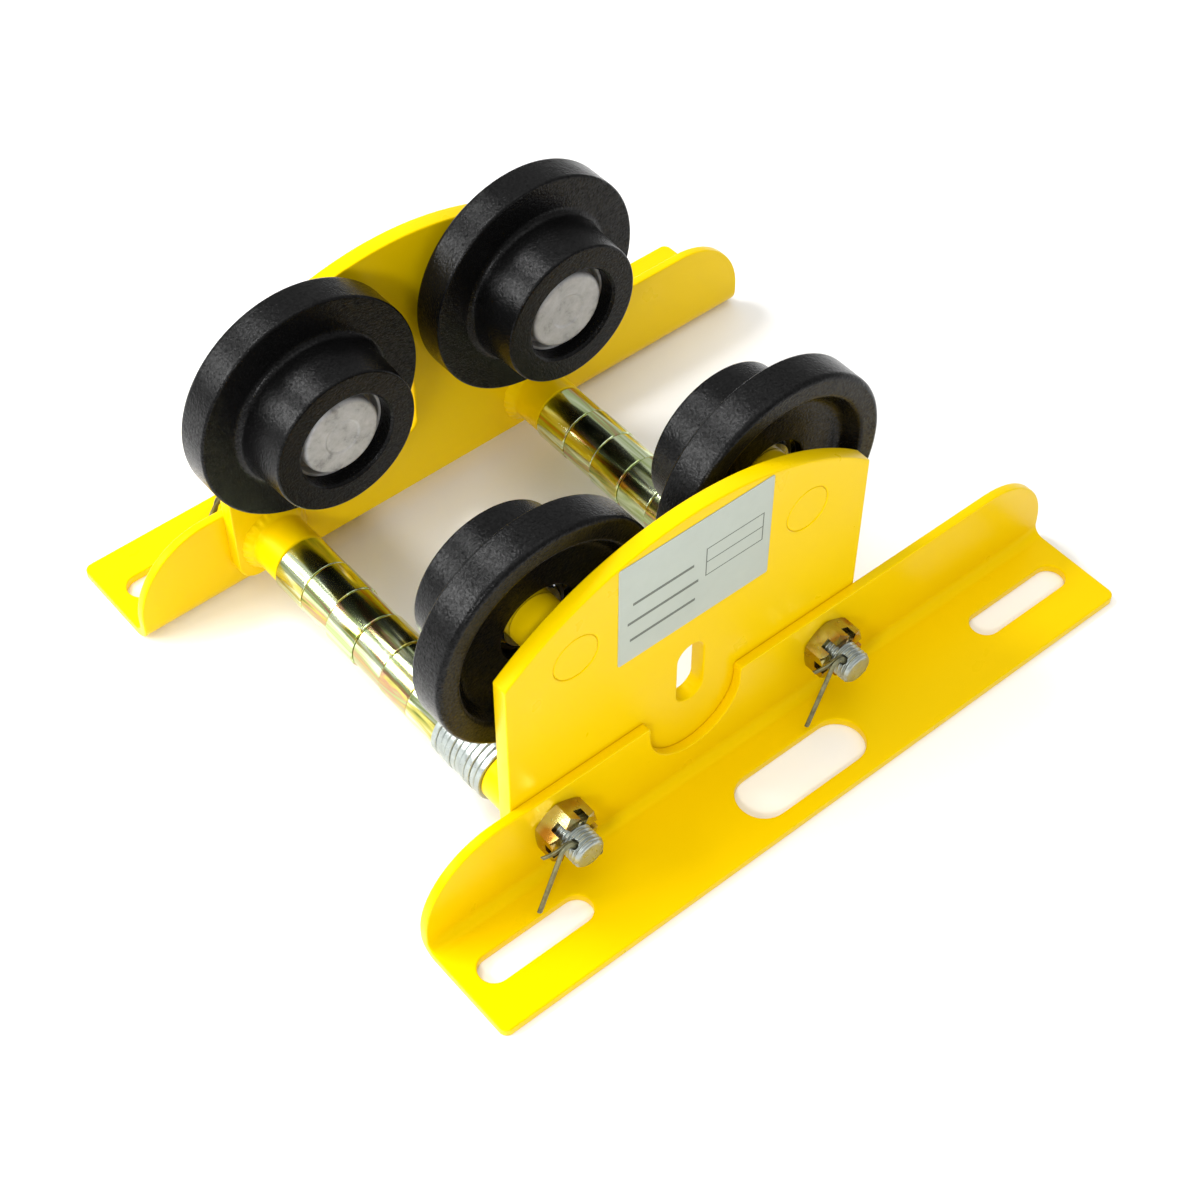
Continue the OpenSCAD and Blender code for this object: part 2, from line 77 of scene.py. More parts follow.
def node_box(node):
    """Lowest and highest corner of a CAD node, as arrays in metres."""
    lo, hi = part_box(node)
    return np.array(lo), np.array(hi)


def axis_of(node):
    """X and Z of the axis of a round CAD node that lies along Y."""
    lo, hi = node_box(node)
    return (lo[0] + hi[0]) / 2, (lo[2] + hi[2]) / 2


PLATE_LO, PLATE_HI = node_box("front_side_plate")
BRACKET_LO, BRACKET_HI = node_box("front_bracket")
PLATE_IN, PLATE_OUT = -PLATE_HI[1], -PLATE_LO[1]
SHIFT = (PLATE_LO[0] + PLATE_HI[0]) / 2


def outward(side):
    """Sign along Y of a side."""
    return -1 if side == "front" else 1


def length(name, description, default_mm):
    """A size property, given in millimetres."""
    return FloatProperty(name=name, description=description, default=default_mm * MM,
                         unit="LENGTH", precision=5, min=0)


def colour(name, description, default):
    """A colour property."""
    return FloatVectorProperty(name=name, description=description, default=default,
                               subtype="COLOR", size=3, min=0, max=1)


def angle(name, description, default_degrees):
    """An angle property, given in degrees."""
    return FloatProperty(name=name, description=description, default=np.radians(default_degrees),
                         subtype="ANGLE")


def power(name, description, default):
    """A light's power in watts."""
    return FloatProperty(name=name, description=description, default=default, subtype="POWER")


# Sizes and colours

class SheetSizes(bpy.types.PropertyGroup):
    edge: length("Edge", "Radius of the painted sheet's edges", 0.55)
    plate_corner: length("Plate corner", "Radius of a side plate's lower corners", 8)
    plate_shoulder: length("Plate shoulder", "Radius where upright edge and curved top meet", 1.2)
    plate_top_r: length("Plate top", "Radius of a side plate's curved top", 112)
    slot_w: length("Slot width", "Width of a side plate's upright slot", 11)
    slot_h: length("Slot height", "Height of a side plate's upright slot", 27)
    slot_z: length("Slot place", "Height of the upright slot's middle above the ground", 50.5)
    bolt_hole: length("Bolt hole", "Radius of the tie bolts' holes", 6.5)
    axle_hole: length("Axle hole", "Radius of the axles' holes", 8.52)
    sheet: length("Bracket sheet", "Thickness of a bracket's sheet", 3.5)
    bend: length("Bracket bend", "Inner radius of a bracket's bend", 4)
    leg_corner: length("Leg corner", "Radius of the upright leg's upper corners", 30)
    foot_corner: length("Foot corner", "Radius of the foot's free corners", 3)
    notch_w: length("Notch width", "Width of the round-bottomed notch", 38)
    notch_bottom: length("Notch bottom", "Height of the notch's bottom above the ground", 16.5)
    notch_edge: length("Notch edge", "Radius of the notch's upper corners", 1.5)
    small_slot: FloatVectorProperty(
        name="Small slot", description="Length, width, spacing, and distance from the side plate",
        default=(0.044, 0.011, 0.218, 0.022), size=4, subtype="XYZ_LENGTH")
    large_slot: FloatVectorProperty(
        name="Large slot", description="Length, width, and distance from the side plate",
        default=(0.053, 0.019, 0.02675), size=3, subtype="XYZ_LENGTH")
    label_corner: length("Label corner", "Radius of the label plate's corners", 0.8)


class WheelSizes(bpy.types.PropertyGroup):
    segments: IntProperty(name="Segments", description="Facets round a wheel", default=192, min=24)
    recess_depth: length("Recess depth", "Depth of the recess that faces the plate", 6)
    recess_r: length("Recess", "Radius of the recess that faces the plate", 34)
    lip: length("Lip", "Thickness of the lip behind the bearing", 3)
    lip_hole: length("Lip hole", "Radius of the hole in the lip", 14)
    flange_w: length("Flange width", "Width of the flange", 13)
    flange_edge: length("Flange edge", "Radius of the flange's edges", 0.9)
    root: length("Root", "Radius between tread and flange", 2.5)
    tread_r: length("Tread", "Radius of the tread beside the flange", 28)
    hub_r: length("Hub", "Radius of the tread at the hub's end", 26.75)
    hub_edge: length("Hub edge", "Radius of the hub's edge", 0.9)
    bore_r: length("Bore", "Radius of the bearing's bore", 17.52)
    groove_r: length("Wheel groove", "Radius of the groove for the wheel's circlip", 18.5)
    cap_wall: length("Cap wall", "Radius of a dust cap's raised middle", 14.3)
    cap_sheet: length("Cap sheet", "Thickness of a dust cap's sheet", 1)
    cap_edge: length("Cap edge", "Radius of a dust cap's outer edge", 1.5)
    cap_dimple: length("Cap dimple", "Radius of a dust cap's dimple", 6)


class FastenerSizes(bpy.types.PropertyGroup):
    bolt_r: length("Bolt", "Radius of a tie bolt", 6)
    pitch: length("Pitch", "Pitch of the thread", 1.5)
    thread_depth: length("Thread depth", "Depth of the thread", 0.75)
    thread_len: length("Thread length", "Length of the thread at each end", 24)
    pin_place: length("Pin place", "Distance of a split pin from the bolt's end", 4)
    pin_r: length("Pin", "Radius of a split pin's closed legs", 1.1)
    pin_turn: angle("Pin turn", "Direction of the split pins' legs", 130)
    long_leg: length("Long leg", "Length of the long leg outside its bend", 25.6)
    long_bend: angle("Long leg bend", "Angle of the long leg's bend", 119)
    short_leg: length("Short leg", "Length of the short leg outside its bend", 7)
    short_bend: angle("Short leg bend", "Angle of the short leg's bend", 77)
    short_dip: length("Short leg dip", "Lean of the short leg's end towards the plate", 2.5)
    leg_bend_r: length("Leg bend", "Radius of a leg's bend", 2.5)
    eye_r: length("Eye", "Inner radius of a split pin's eye", 1.3)
    nut_edge: length("Nut edge", "Width of the bevel on a nut's edges", 0.3)
    spacer_len: length("Spacer", "Length of a spacer tube", 15)
    spacer_r: length("Spacer radius", "Outer radius of a spacer tube", 11)
    spacer_bore: length("Spacer bore", "Radius of a spacer tube's bore", 6.75)
    spacers: IntProperty(name="Spacers", description="Spacer tubes on a tie bolt", default=6, min=1)
    washer_t: length("Washer", "Thickness of a washer", 2.5)
    washer_r: length("Washer radius", "Outer radius of a washer", 12)
    washer_bore: length("Washer bore", "Radius of a washer's bore", 6.5)
    washers: IntProperty(name="Washers", description="Washers on a tie bolt", default=10, min=1)
    stack_fit: length("Stack clearance", "Clearance between neighbouring rings", 0.04)
    boss_r: length("Boss", "Radius of a boss", 10.75)
    boss_bore: length("Boss bore", "Radius of a boss's bore", 6.5)
    bead: length("Weld bead", "Size of the weld bead round a boss", 3)
    ripples: IntProperty(name="Ripples", description="Ripples round a weld bead", default=26, min=3)
    axle_seat: length("Axle seat", "Radius of an axle's end in the side plate", 8.5)
    collar_r: length("Collar", "Radius of an axle's collar", 9)
    journal_r: length("Journal", "Radius of an axle's end inside the bearing", 7.48)
    axle_groove: length("Axle groove", "Radius of the groove for an axle's circlip", 7.15)


class Colours(bpy.types.PropertyGroup):
    yellow: colour("Yellow paint", "Gloss paint of plates and brackets", (0.86, 0.59, 0.0))
    yellow_deep: colour("Yellow shade", "Thicker paint in the yellow coat", (0.84, 0.57, 0.0))
    yellow_sheen: colour("Yellow sheen", "Colour of the yellow paint's reflections", (1, 0.72, 0.03))
    black: colour("Black paint", "Paint of the cast wheels", (0.0022, 0.0022, 0.0022))
    cap: colour("Cap steel", "Pressed steel of the dust caps", (0.43, 0.43, 0.43))
    zinc: colour("White zinc", "Plating of washers and bolts", (0.4, 0.44, 0.42))
    gold: colour("Gold zinc", "Yellow plating", (0.56, 0.5, 0.12))
    # Painted highlight: on the spacer tubes this pale shade stands in for bright highlight streaks
    pale: colour("Pale zinc", "Lightest shade of the yellow plating", (0.74, 0.82, 0.56))
    moss: colour("Moss zinc", "Light green shade of the yellow plating", (0.42, 0.52, 0.2))
    # Partly painted reflection: on the spacer tubes this dark shade stands in for reflections of dark
    # surroundings; on the nuts it is a plain tone
    olive: colour("Olive zinc", "Green shade of the yellow plating", (0.15, 0.19, 0.04))
    rose: colour("Rose zinc", "Pink shade of the yellow plating", (0.5, 0.27, 0.17))
    nut: colour("Nut zinc", "Brown shade of the nuts' plating", (0.34, 0.17, 0.03))
    nut_light: colour("Light nut zinc", "Light shade of the nuts' plating", (0.45, 0.42, 0.18))
    pin: colour("Pin steel", "Dull wire of the split pins", (0.2, 0.2, 0.12))
    bearing: colour("Bearing steel", "Rings and balls", (0.7, 0.72, 0.75))
    spring: colour("Spring steel", "Circlips", (0.08, 0.08, 0.085))
    label: colour("Label", "Matt film of the label plate", (0.46, 0.51, 0.455))
    rule: colour("Label rules", "Empty ruled fields of the label plate", (0.12, 0.14, 0.12))
    floor: colour("Floor", "Studio floor", (0.97, 0.97, 0.97))


class Studio(bpy.types.PropertyGroup):
    eye: FloatVectorProperty(name="Camera", description="Place of the camera", size=3,
                             subtype="XYZ_LENGTH", default=(-0.3344, -0.40204, 0.60999))
    turn: FloatVectorProperty(name="Camera turn", description="Turn of the camera", size=3,
                              subtype="EULER", default=tuple(np.radians((40.281, -0.123, -39.728))))
    lens: FloatProperty(name="Lens", description="Focal length in millimetres", default=67.54)
    top: power("Top light", "Power of the large overhead light", 20)
    key: power("Key light", "Power of the light behind the trolley", 6)
    rim: power("Rim light", "Power of the wide light at the left", 17)
    fill: power("Fill light", "Power of the front light", 6)
    sky: FloatProperty(name="Surround", description="Strength of the pale surround", default=0.58)


class Trolley(bpy.types.PropertyGroup):
    sheet: PointerProperty(type=SheetSizes, name="Sheet parts", description="Plates and brackets")
    wheel: PointerProperty(type=WheelSizes, name="Wheels", description="Wheels and dust caps")
    fastener: PointerProperty(type=FastenerSizes, name="Fasteners", description="Bolts and rings")
    colours: PointerProperty(type=Colours, name="Colours", description="Colours of the finishes")
    studio: PointerProperty(type=Studio, name="Studio", description="Camera and lights")


def settings():
    """The trolley's sizes and colours in the open scene."""
    return bpy.context.scene.trolley


# Shapes as arrays of points

def sharp(points):
    """Points as corners (x, y, radius) without rounding."""
    return np.column_stack([points, np.zeros(len(points))])


def rounded(corners, steps=5, margin=FLAT_MARGIN, closed=True):
    """Outline through corners (x, y, radius). A corner of radius r becomes an arc that touches
    both of its edges at r / tan(half the corner's angle). A point on each edge, at most margin
    away from the arc, keeps the flats flat. An open line keeps its two end points."""
    corners = np.asarray(corners, float)
    p = corners[:, :2]
    before = np.roll(p, 1, 0) - p
    after = np.roll(p, -1, 0) - p
    far = np.linalg.norm(after, axis=1)
    a = before / np.linalg.norm(before, axis=1)[:, None]
    b = after / far[:, None]
    opening = np.arccos(np.clip((a * b).sum(1), -1, 1))
    turn = np.pi - opening
    use = (corners[:, 2] > 0) & (turn > STRAIGHT)
    r = np.where(use, corners[:, 2], 0)
    half = np.where(use, opening / 2, np.pi / 4)
    reach = r / np.tan(half)
    middle = a + b
    size = np.linalg.norm(middle, axis=1)
    inward = middle / np.where(size > 0, size, 1)[:, None]
    centre = p + inward * (r / np.sin(half))[:, None]
    start = p + a * reach[:, None] - centre
    end = p + b * reach[:, None] - centre
    t = np.linspace(0, 1, steps + 1)[None, :, None]
    swing = np.where(use, turn, 1)[:, None, None]
    sweep = np.sin((1 - t) * swing) * start[:, None] + np.sin(t * swing) * end[:, None]
    arc = np.where(use[:, None, None], centre[:, None] + sweep / np.sin(swing), p[:, None])
    spare = np.clip(far - reach - np.roll(reach, -1), 0, None)
    gap = np.minimum(margin, spare / 4)
    first = p + a * (reach + np.where(use, np.roll(gap, 1), 0))[:, None]
    last = p + b * (reach + np.where(use, gap, 0))[:, None]
    stretches = np.concatenate([first[:, None], arc, last[:, None]], 1)
    if closed:
        line = stretches.reshape(-1, 2)
    else:
        line = np.concatenate([p[:1], stretches[1:-1].reshape(-1, 2), p[-1:]])
    keep = np.linalg.norm(line - np.roll(line, 1, 0), axis=1) > SAME_POINT
    keep[0] |= not closed
    return line[keep]


def obround(x, y, long, wide, upright=False, steps=20):
    """Slot outline: two half circles of half the width, joined by straight lines."""
    t = np.linspace(-np.pi / 2, np.pi / 2, steps)
    r = wide / 2
    right = np.stack([(long - wide) / 2 + r * np.cos(t), r * np.sin(t)], 1)
    line = np.concatenate([right, -right])
    if upright:
        line = np.stack([-line[:, 1], line[:, 0]], 1)
    return line + (x, y)


def circle(x, y, r, steps=64):
    """Points at equal angles at distance r from (x, y)."""
    t = np.linspace(0, 2 * np.pi, steps, endpoint=False)
    return np.stack([x + r * np.cos(t), y + r * np.sin(t)], 1)


def turned_way(line, anticlockwise):
    """Outline in the wanted direction. The sum over its points of x times the next y, less the
    next x times y, is above 0 when it runs anticlockwise."""
    x, y = line.T
    area = (x * np.roll(y, -1) - np.roll(x, -1) * y).sum()
    return line if (area > 0) == anticlockwise else line[::-1]


def inset(line, d):
    """Outline moved by d to its left: each point goes along the mean of its two edges' normals,
    stretched so that both edges move by d."""
    e = np.roll(line, -1, 0) - line
    n = np.stack([-e[:, 1], e[:, 0]], 1) / np.linalg.norm(e, axis=1)[:, None]
    m = np.roll(n, 1, 0)
    return line + d * (m + n) / (1 + (m * n).sum(1))[:, None]


def grid_faces(rows, columns, around=True, start=0):
    """Four-sided faces between neighbours of a grid of points, which may close on itself."""
    i = np.arange(rows - 1)[:, None] * columns
    j = np.arange(columns if around else columns - 1)[None, :]
    k = (j + 1) % columns
    quads = np.stack([i + j, i + k, i + columns + k, i + columns + j], -1)
    return quads.reshape(-1, 4) + start


def inside(points, outline):
    """Whether a ray from each point along X crosses the outline an odd number of times."""
    x, y = points.T[:, :, None]
    a, b = outline, np.roll(outline, -1, 0)
    crossed = (a[:, 1] > y) != (b[:, 1] > y)
    rise = np.where(a[:, 1] == b[:, 1], 1, b[:, 1] - a[:, 1])
    return ((x < a[:, 0] + (y - a[:, 1]) * (b[:, 0] - a[:, 0]) / rise) & crossed).sum(1) % 2 == 1


def filled(loops):
    """Triangles that fill an outline and leave its holes open: all triangles between the points
    whose middle lies in no hole. They are found in millimetres."""
    per_metre = 1000
    tolerance = 1e-6
    within_first_outline = 1
    points = np.concatenate(loops)
    edges = []
    for loop in loops:
        ring = len(edges) + np.arange(len(loop))
        edges += zip(ring.tolist(), np.roll(ring, -1).tolist())
    found = delaunay_2d_cdt([Vector(point) for point in (points * per_metre).tolist()], edges, [],
                            within_first_outline, tolerance)
    flat = np.array([point[:] for point in found[0]]) / per_metre
    tris = np.array(found[2])
    in_hole = np.zeros(len(tris), bool)
    for hole in loops[1:]:
        in_hole |= inside(flat[tris].mean(1), hole)
    return flat, tris[~in_hole]


def split_at_fold(rims, fold):
    """Outlines on either side of a fold (from, to), and the points of the strip between them: the
    outline's points on the fold, left and right in turn, ordered across it."""
    outer, holes = rims[0], rims[1:]
    low, high = fold[0] + TOUCHING, fold[1] - TOUCHING
    below = [outer[outer[:, 1] <= low]] + [h for h in holes if h[:, 1].max() < low]
    above = [outer[outer[:, 1] >= high]] + [h for h in holes if h[:, 1].min() > high]
    on_fold = (outer[:, 1] > fold[0] - TOUCHING) & (outer[:, 1] < fold[1] + TOUCHING)
    pair = [outer[on_fold & (outer[:, 0] * sign > 0)] for sign in (-1, 1)]
    pair = [edge[np.argsort(edge[:, 1])] for edge in pair]
    return [below, above], np.stack(pair, 1).reshape(-1, 2)


def slab(loops, thick, edge, place, fold=None, steps=4):
    """Sheet with round edges. Each outline is swept by the quarter arcs of its two edges: at angle
    t it is inset by edge * (1 - sin t) at depth edge * (1 - cos t). place(x, y, depth) gives the
    point in space. A fold (from, to) is a band of y that gets strips across the sheet."""
    t = np.linspace(0, np.pi / 2, steps + 1)
    arc_in, arc_down = edge * (1 - np.sin(t)), edge * (1 - np.cos(t))
    margin = edge + 0.35 * MM
    ins = np.concatenate([[margin], arc_in, arc_in[::-1], [margin]])
    down = np.concatenate([[0], arc_down, thick - arc_down[::-1], [thick]])
    loops = [turned_way(loop, loop is loops[0]) for loop in loops]
    verts, faces, count = [], [], 0
    for line in loops:
        rings = np.stack([inset(line, d) for d in ins]).reshape(-1, 2)
        verts.append(place(*rings.T, np.repeat(down, len(line))))
        faces += grid_faces(len(ins), len(line), start=count).tolist()
        count += len(rings)
    rims = [inset(line, margin) for line in loops]
    parts, strip = ([rims], None) if fold is None else split_at_fold(rims, fold)
    for depth in (0.0, thick):
        for part in parts:
            flat, tris = filled(part)
            verts.append(place(*flat.T, np.full(len(flat), depth)))
            faces += (tris + count).tolist()
            count += len(flat)
        if strip is not None:
            verts.append(place(*strip.T, np.full(len(strip), depth)))
            faces += grid_faces(len(strip) // 2, 2, around=False, start=count).tolist()
            count += len(strip)
    return np.concatenate(verts), faces


def revolved(profile, segments, closed=True, swell=None):
    """Surface of revolution: at angle t a profile point (r, u) stands at (r sin t, u, r cos t).
    swell(t, r, u) may change the radius. A profile that isn't closed starts and ends on the axis.
    Returns points, faces, and the share of a turn and the run along the profile at each face's
    corners."""
    if closed:
        profile = np.concatenate([profile, profile[:1]])
    t = np.linspace(0, 2 * np.pi, segments, endpoint=False)
    r, u = profile[:, :1], profile[:, 1:]
    rr = r + 0 * t if swell is None else swell(t[None, :], r, u)
    points = np.stack([rr * np.sin(t), u + 0 * t, rr * np.cos(t)], -1).reshape(-1, 3)
    faces = grid_faces(len(profile), segments)
    run = np.concatenate([[0], np.cumsum(np.linalg.norm(np.diff(profile, axis=0), axis=1))])
    i, j = np.divmod(np.arange(len(faces)), segments)
    turn = np.stack([j, j + 1, j + 1, j], 1) / segments
    along = np.stack([run[i], run[i], run[i + 1], run[i + 1]], 1)
    return points, faces, np.stack([turn, along * RUNS_PER_METRE], -1)


def made(name, points, faces, body, replaced, material, uv=None):
    """Puts points and faces into a closed mesh object whose faces point outward, hands the object
    to its body, and hides the CAD nodes that it replaces."""
    if isinstance(faces, np.ndarray):
        faces = faces.tolist()
    mesh = bpy.data.meshes.new(name)
    mesh.from_pydata(np.asarray(points, float).tolist(), [], faces)
    if uv is not None:
        layer = mesh.uv_layers.new(name="turned")
        layer.data.foreach_set("uv", np.ascontiguousarray(uv, np.float32).ravel())
    work = bmesh.new()
    work.from_mesh(mesh)
    bmesh.ops.remove_doubles(work, verts=work.verts, dist=TOUCHING)
    bmesh.ops.recalc_face_normals(work, faces=work.faces)
    work.to_mesh(mesh)
    work.free()
    mesh.polygons.foreach_set("use_smooth", [True] * len(mesh.polygons))
    mesh.materials.append(material)
    piece = bpy.data.objects.new(name, mesh)
    bpy.context.scene.collection.objects.link(piece)
    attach(piece, body)
    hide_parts(*replaced)
    return piece


# Finishes

class Finish:
    """A material whose nodes are added one by one."""

    def __init__(self, name):
        self.material = bpy.data.materials.new(name)
        self.material.use_nodes = True
        self.nodes = self.material.node_tree.nodes
        self.links = self.material.node_tree.links
        self.shader = self.nodes["Principled BSDF"]
        self.place = self.add("ShaderNodeTexCoord").outputs["Object"]

    def feed(self, socket, value):
        """Links a node's output to a socket, or sets the socket to a constant."""
        if isinstance(value, bpy.types.NodeSocket):
            self.links.new(value, socket)
        else:
            socket.default_value = value

    def add(self, kind, inputs=None, **values):
        """A node of a kind, with its settings and inputs."""
        node = self.nodes.new(kind)
        for key, value in values.items():
            setattr(node, key, value)
        for key, value in (inputs or {}).items():
            self.feed(node.inputs[key], value)
        return node

    def noise(self, scale, detail=3.0, rough=0.5, distortion=0.0, place=None):
        """Smooth random value from 0 to 1 whose patches are about 1 / scale metres wide."""
        return self.add("ShaderNodeTexNoise", {
            "Vector": place or self.place, "Scale": scale, "Detail": detail, "Roughness": rough,
            "Distortion": distortion}).outputs["Fac"]

    def stretched(self, scale, place=None):
        """The place, multiplied along X, Y and Z."""
        return self.add("ShaderNodeMapping", {
            "Vector": place or self.place, "Scale": scale}).outputs["Vector"]

    def axes(self):
        """The place's X, Y and Z."""
        return self.add("ShaderNodeSeparateXYZ", {"Vector": self.place}).outputs

    def ramp(self, value, *stops):
        """Colour that changes through the stops (place from 0 to 1, colour)."""
        node = self.add("ShaderNodeValToRGB", {"Fac": value})
        elements = node.color_ramp.elements
        while len(elements) < len(stops):
            elements.new(0.5)
        for element, (at, tint) in zip(elements, stops):
            element.position = at
            element.color = (*tint, 1)
        return node.outputs["Color"]

    def spread(self, value, low, high):
        """Noise, whose values lie mostly from 0.25 to 0.75, moved to the range low to high."""
        return self.add("ShaderNodeMapRange", {
            "Value": value, "From Min": 0.25, "From Max": 0.75, "To Min": low, "To Max": high
        }).outputs["Result"]

    def math(self, what, a, b=0.0):
        """Result of a Math node."""
        node = self.add("ShaderNodeMath", operation=what)
        self.feed(node.inputs[0], a)
        self.feed(node.inputs[1], b)
        return node.outputs[0]

    def bump(self, height, distance, under=None):
        """Surface relief: height from 0 to 1 times distance in metres, over another relief."""
        inputs = {"Height": height, "Distance": distance, "Strength": 1}
        if under is not None:
            inputs["Normal"] = under
        return self.add("ShaderNodeBump", inputs).outputs["Normal"]

    def wire(self, **sockets):
        """Sets or links the shader's sockets, named with underscores for spaces."""
        for key, value in sockets.items():
            self.feed(self.shader.inputs[key.replace("_", " ")], value)
        return self.material


def kept(build):
    """Makes a finish once, and gives the same one again later."""
    def give():
        name = f"{build.__name__}_finish"
        return bpy.data.materials.get(name) or build(Finish(name), settings().colours)
    return give


def shade(tint, factor):
    """Colour whose channels are multiplied by a factor, up to 1."""
    return tuple(min(1, v * factor) for v in tint)


@kept
def yellow_paint(f, c):
    """Gloss paint with slight orange peel."""
    tint = f.ramp(f.noise(14, detail=4, rough=0.55), (0.3, c.yellow_deep), (0.7, c.yellow))
    peel = f.bump(f.noise(900, detail=2), 0.008 * MM)
    wave = f.bump(f.noise(160, detail=2, rough=0.4), 0.015 * MM, under=peel)
    return f.wire(Base_Color=tint, Roughness=f.spread(f.noise(60), 0.26, 0.36), Normal=wave,
                  Specular_IOR_Level=0.3, Specular_Tint=(*c.yellow_sheen, 1))


@kept
def black_paint(f, c):
    """Paint on rough cast iron: grains that catch the light, over wider lumps."""
    tint = f.ramp(f.noise(1500, rough=0.7), (0.35, c.black), (0.75, shade(c.black, 2.6)))
    grain = f.noise(1250, rough=0.6)
    lumps = f.bump(f.noise(170), 0.16 * MM)
    return f.wire(Base_Color=tint, Roughness=f.spread(grain, 0.12, 0.28),
                  Normal=f.bump(grain, 0.16 * MM, under=lumps),
                  Specular_IOR_Level=f.spread(f.noise(1100, detail=2, rough=0.7), 0.035, 0.21))


@kept
def cap_steel(f, c):
    """Mottled pressed steel with faint rings round the axis."""
    mottle = f.noise(150, detail=6, rough=0.7, distortion=0.2)
    tint = f.ramp(mottle, (0.3, shade(c.cap, 0.42)), (0.46, shade(c.cap, 0.9)), (0.7, shade(c.cap, 1.2)))
    turned = f.add("ShaderNodeUVMap", uv_map="turned").outputs["UV"]
    rings = f.noise(9, rough=0.6, place=f.stretched((2, 60, 1), turned))
    dents = f.bump(mottle, 0.12 * MM)
    return f.wire(Base_Color=tint, Metallic=0.1, Roughness=f.spread(mottle, 0.3, 0.48),
                  Normal=f.bump(rings, 0.03 * MM, under=dents))


@kept
def pale_gold_zinc(f, c):
    """Yellow plating that shimmers from olive to rose. Partly its own tint, partly painted light: the
    dark olive bands stand in for reflections of dark surroundings, and the pale bands are painted
    highlights. Each spacer tube reads another part of the pattern, which runs mostly round the tube."""
    start = float(node_box("back_left_boss")[0][1])
    jump, along = 3.7, 0.12
    axes = f.axes()
    tube = f.math("FLOOR", f.math("DIVIDE", f.math("SUBTRACT", axes["Y"], start),
                                  settings().fastener.spacer_len))
    y = f.math("ADD", f.math("MULTIPLY", tube, jump), f.math("MULTIPLY", axes["Y"], along))
    place = f.add("ShaderNodeCombineXYZ", {"X": axes["X"], "Y": y, "Z": axes["Z"]}).outputs[0]
    drift = f.noise(130, rough=0.6, distortion=0.8, place=place)
    # The olive stops are painted dark reflections and the pale stop a painted highlight; gold, moss and
    # rose are the plating's own tint
    tint = f.ramp(drift, (0.3, c.olive), (0.38, c.gold), (0.44, c.pale), (0.54, c.moss),
                  (0.59, c.rose), (0.63, c.gold), (0.72, c.olive))
    scratch = f.noise(260, rough=0.6, place=f.stretched((1, 0.12, 1)))
    return f.wire(Base_Color=tint, Metallic=1.0, Roughness=f.spread(scratch, 0.1, 0.2),
                  Normal=f.bump(scratch, 0.02 * MM))


@kept
def gold_zinc(f, c):
    """Brown and gold plating of the castle nuts."""
    tint = f.ramp(f.noise(75, detail=2, distortion=0.1), (0.32, c.nut), (0.5, c.nut_light),
                  (0.6, c.nut), (0.75, c.olive))
    return f.wire(Base_Color=tint, Metallic=1.0, Roughness=f.spread(f.noise(500), 0.16, 0.3),
                  Normal=f.bump(f.noise(900, detail=2), 0.04 * MM))


def bare_metal(f, swirl, low, high, metallic, roughness, grain, depth):
    """Metal that drifts between two shades, with a roughness noise and range, and fine grain."""
    return f.wire(Base_Color=f.ramp(swirl, (0.3, low), (0.7, high)), Metallic=metallic,
                  Roughness=f.spread(*roughness), Normal=f.bump(f.noise(grain, detail=2), depth))


@kept
def white_zinc(f, c):
    """Dull white plating of washers and bolts."""
    return bare_metal(f, f.noise(260, detail=4, rough=0.6), shade(c.zinc, 0.8), shade(c.zinc, 1.15),
                      0.9, (f.noise(700), 0.24, 0.42), 1400, 0.03 * MM)


@kept
def pin_steel(f, c):
    """Dull wire of the split pins."""
    drift = f.noise(300, detail=4, rough=0.6)
    return bare_metal(f, drift, shade(c.pin, 0.6), shade(c.pin, 1.5), 0.8, (drift, 0.38, 0.6),
                      2000, 0.03 * MM)


@kept
def bearing_steel(f, c):
    """Ground steel of rings and balls."""
    swirl = f.noise(400)
    return bare_metal(f, swirl, shade(c.bearing, 0.9), c.bearing, 1.0, (swirl, 0.1, 0.2), 1800,
                      0.01 * MM)


@kept
def pressed_steel(f, c):
    """Pressed steel of the bearings' cages."""
    swirl = f.noise(350, detail=4, rough=0.6)
    return bare_metal(f, swirl, shade(c.cap, 0.7), c.cap, 1.0, (swirl, 0.25, 0.4), 1500, 0.02 * MM)


@kept
def spring_steel(f, c):
    """Dark spring steel of the circlips."""
    swirl = f.noise(350, detail=4, rough=0.6)
    return bare_metal(f, swirl, shade(c.spring, 0.7), shade(c.spring, 1.5), 0.9, (swirl, 0.3, 0.5),
                      1500, 0.02 * MM)


# Empty fields of the label: X and Z from the label's middle, width and height
FRAMES = [(15.5 * MM, z * MM, 23 * MM, 6 * MM) for z in (4.5, -1.5)]
BARS = [(-13 * MM, z * MM, w * MM, 1.2 * MM) for z, w in ((3.5, 24), (-4.5, 28), (-12.5, 26))]
FRAME_LINE = 0.22 * MM


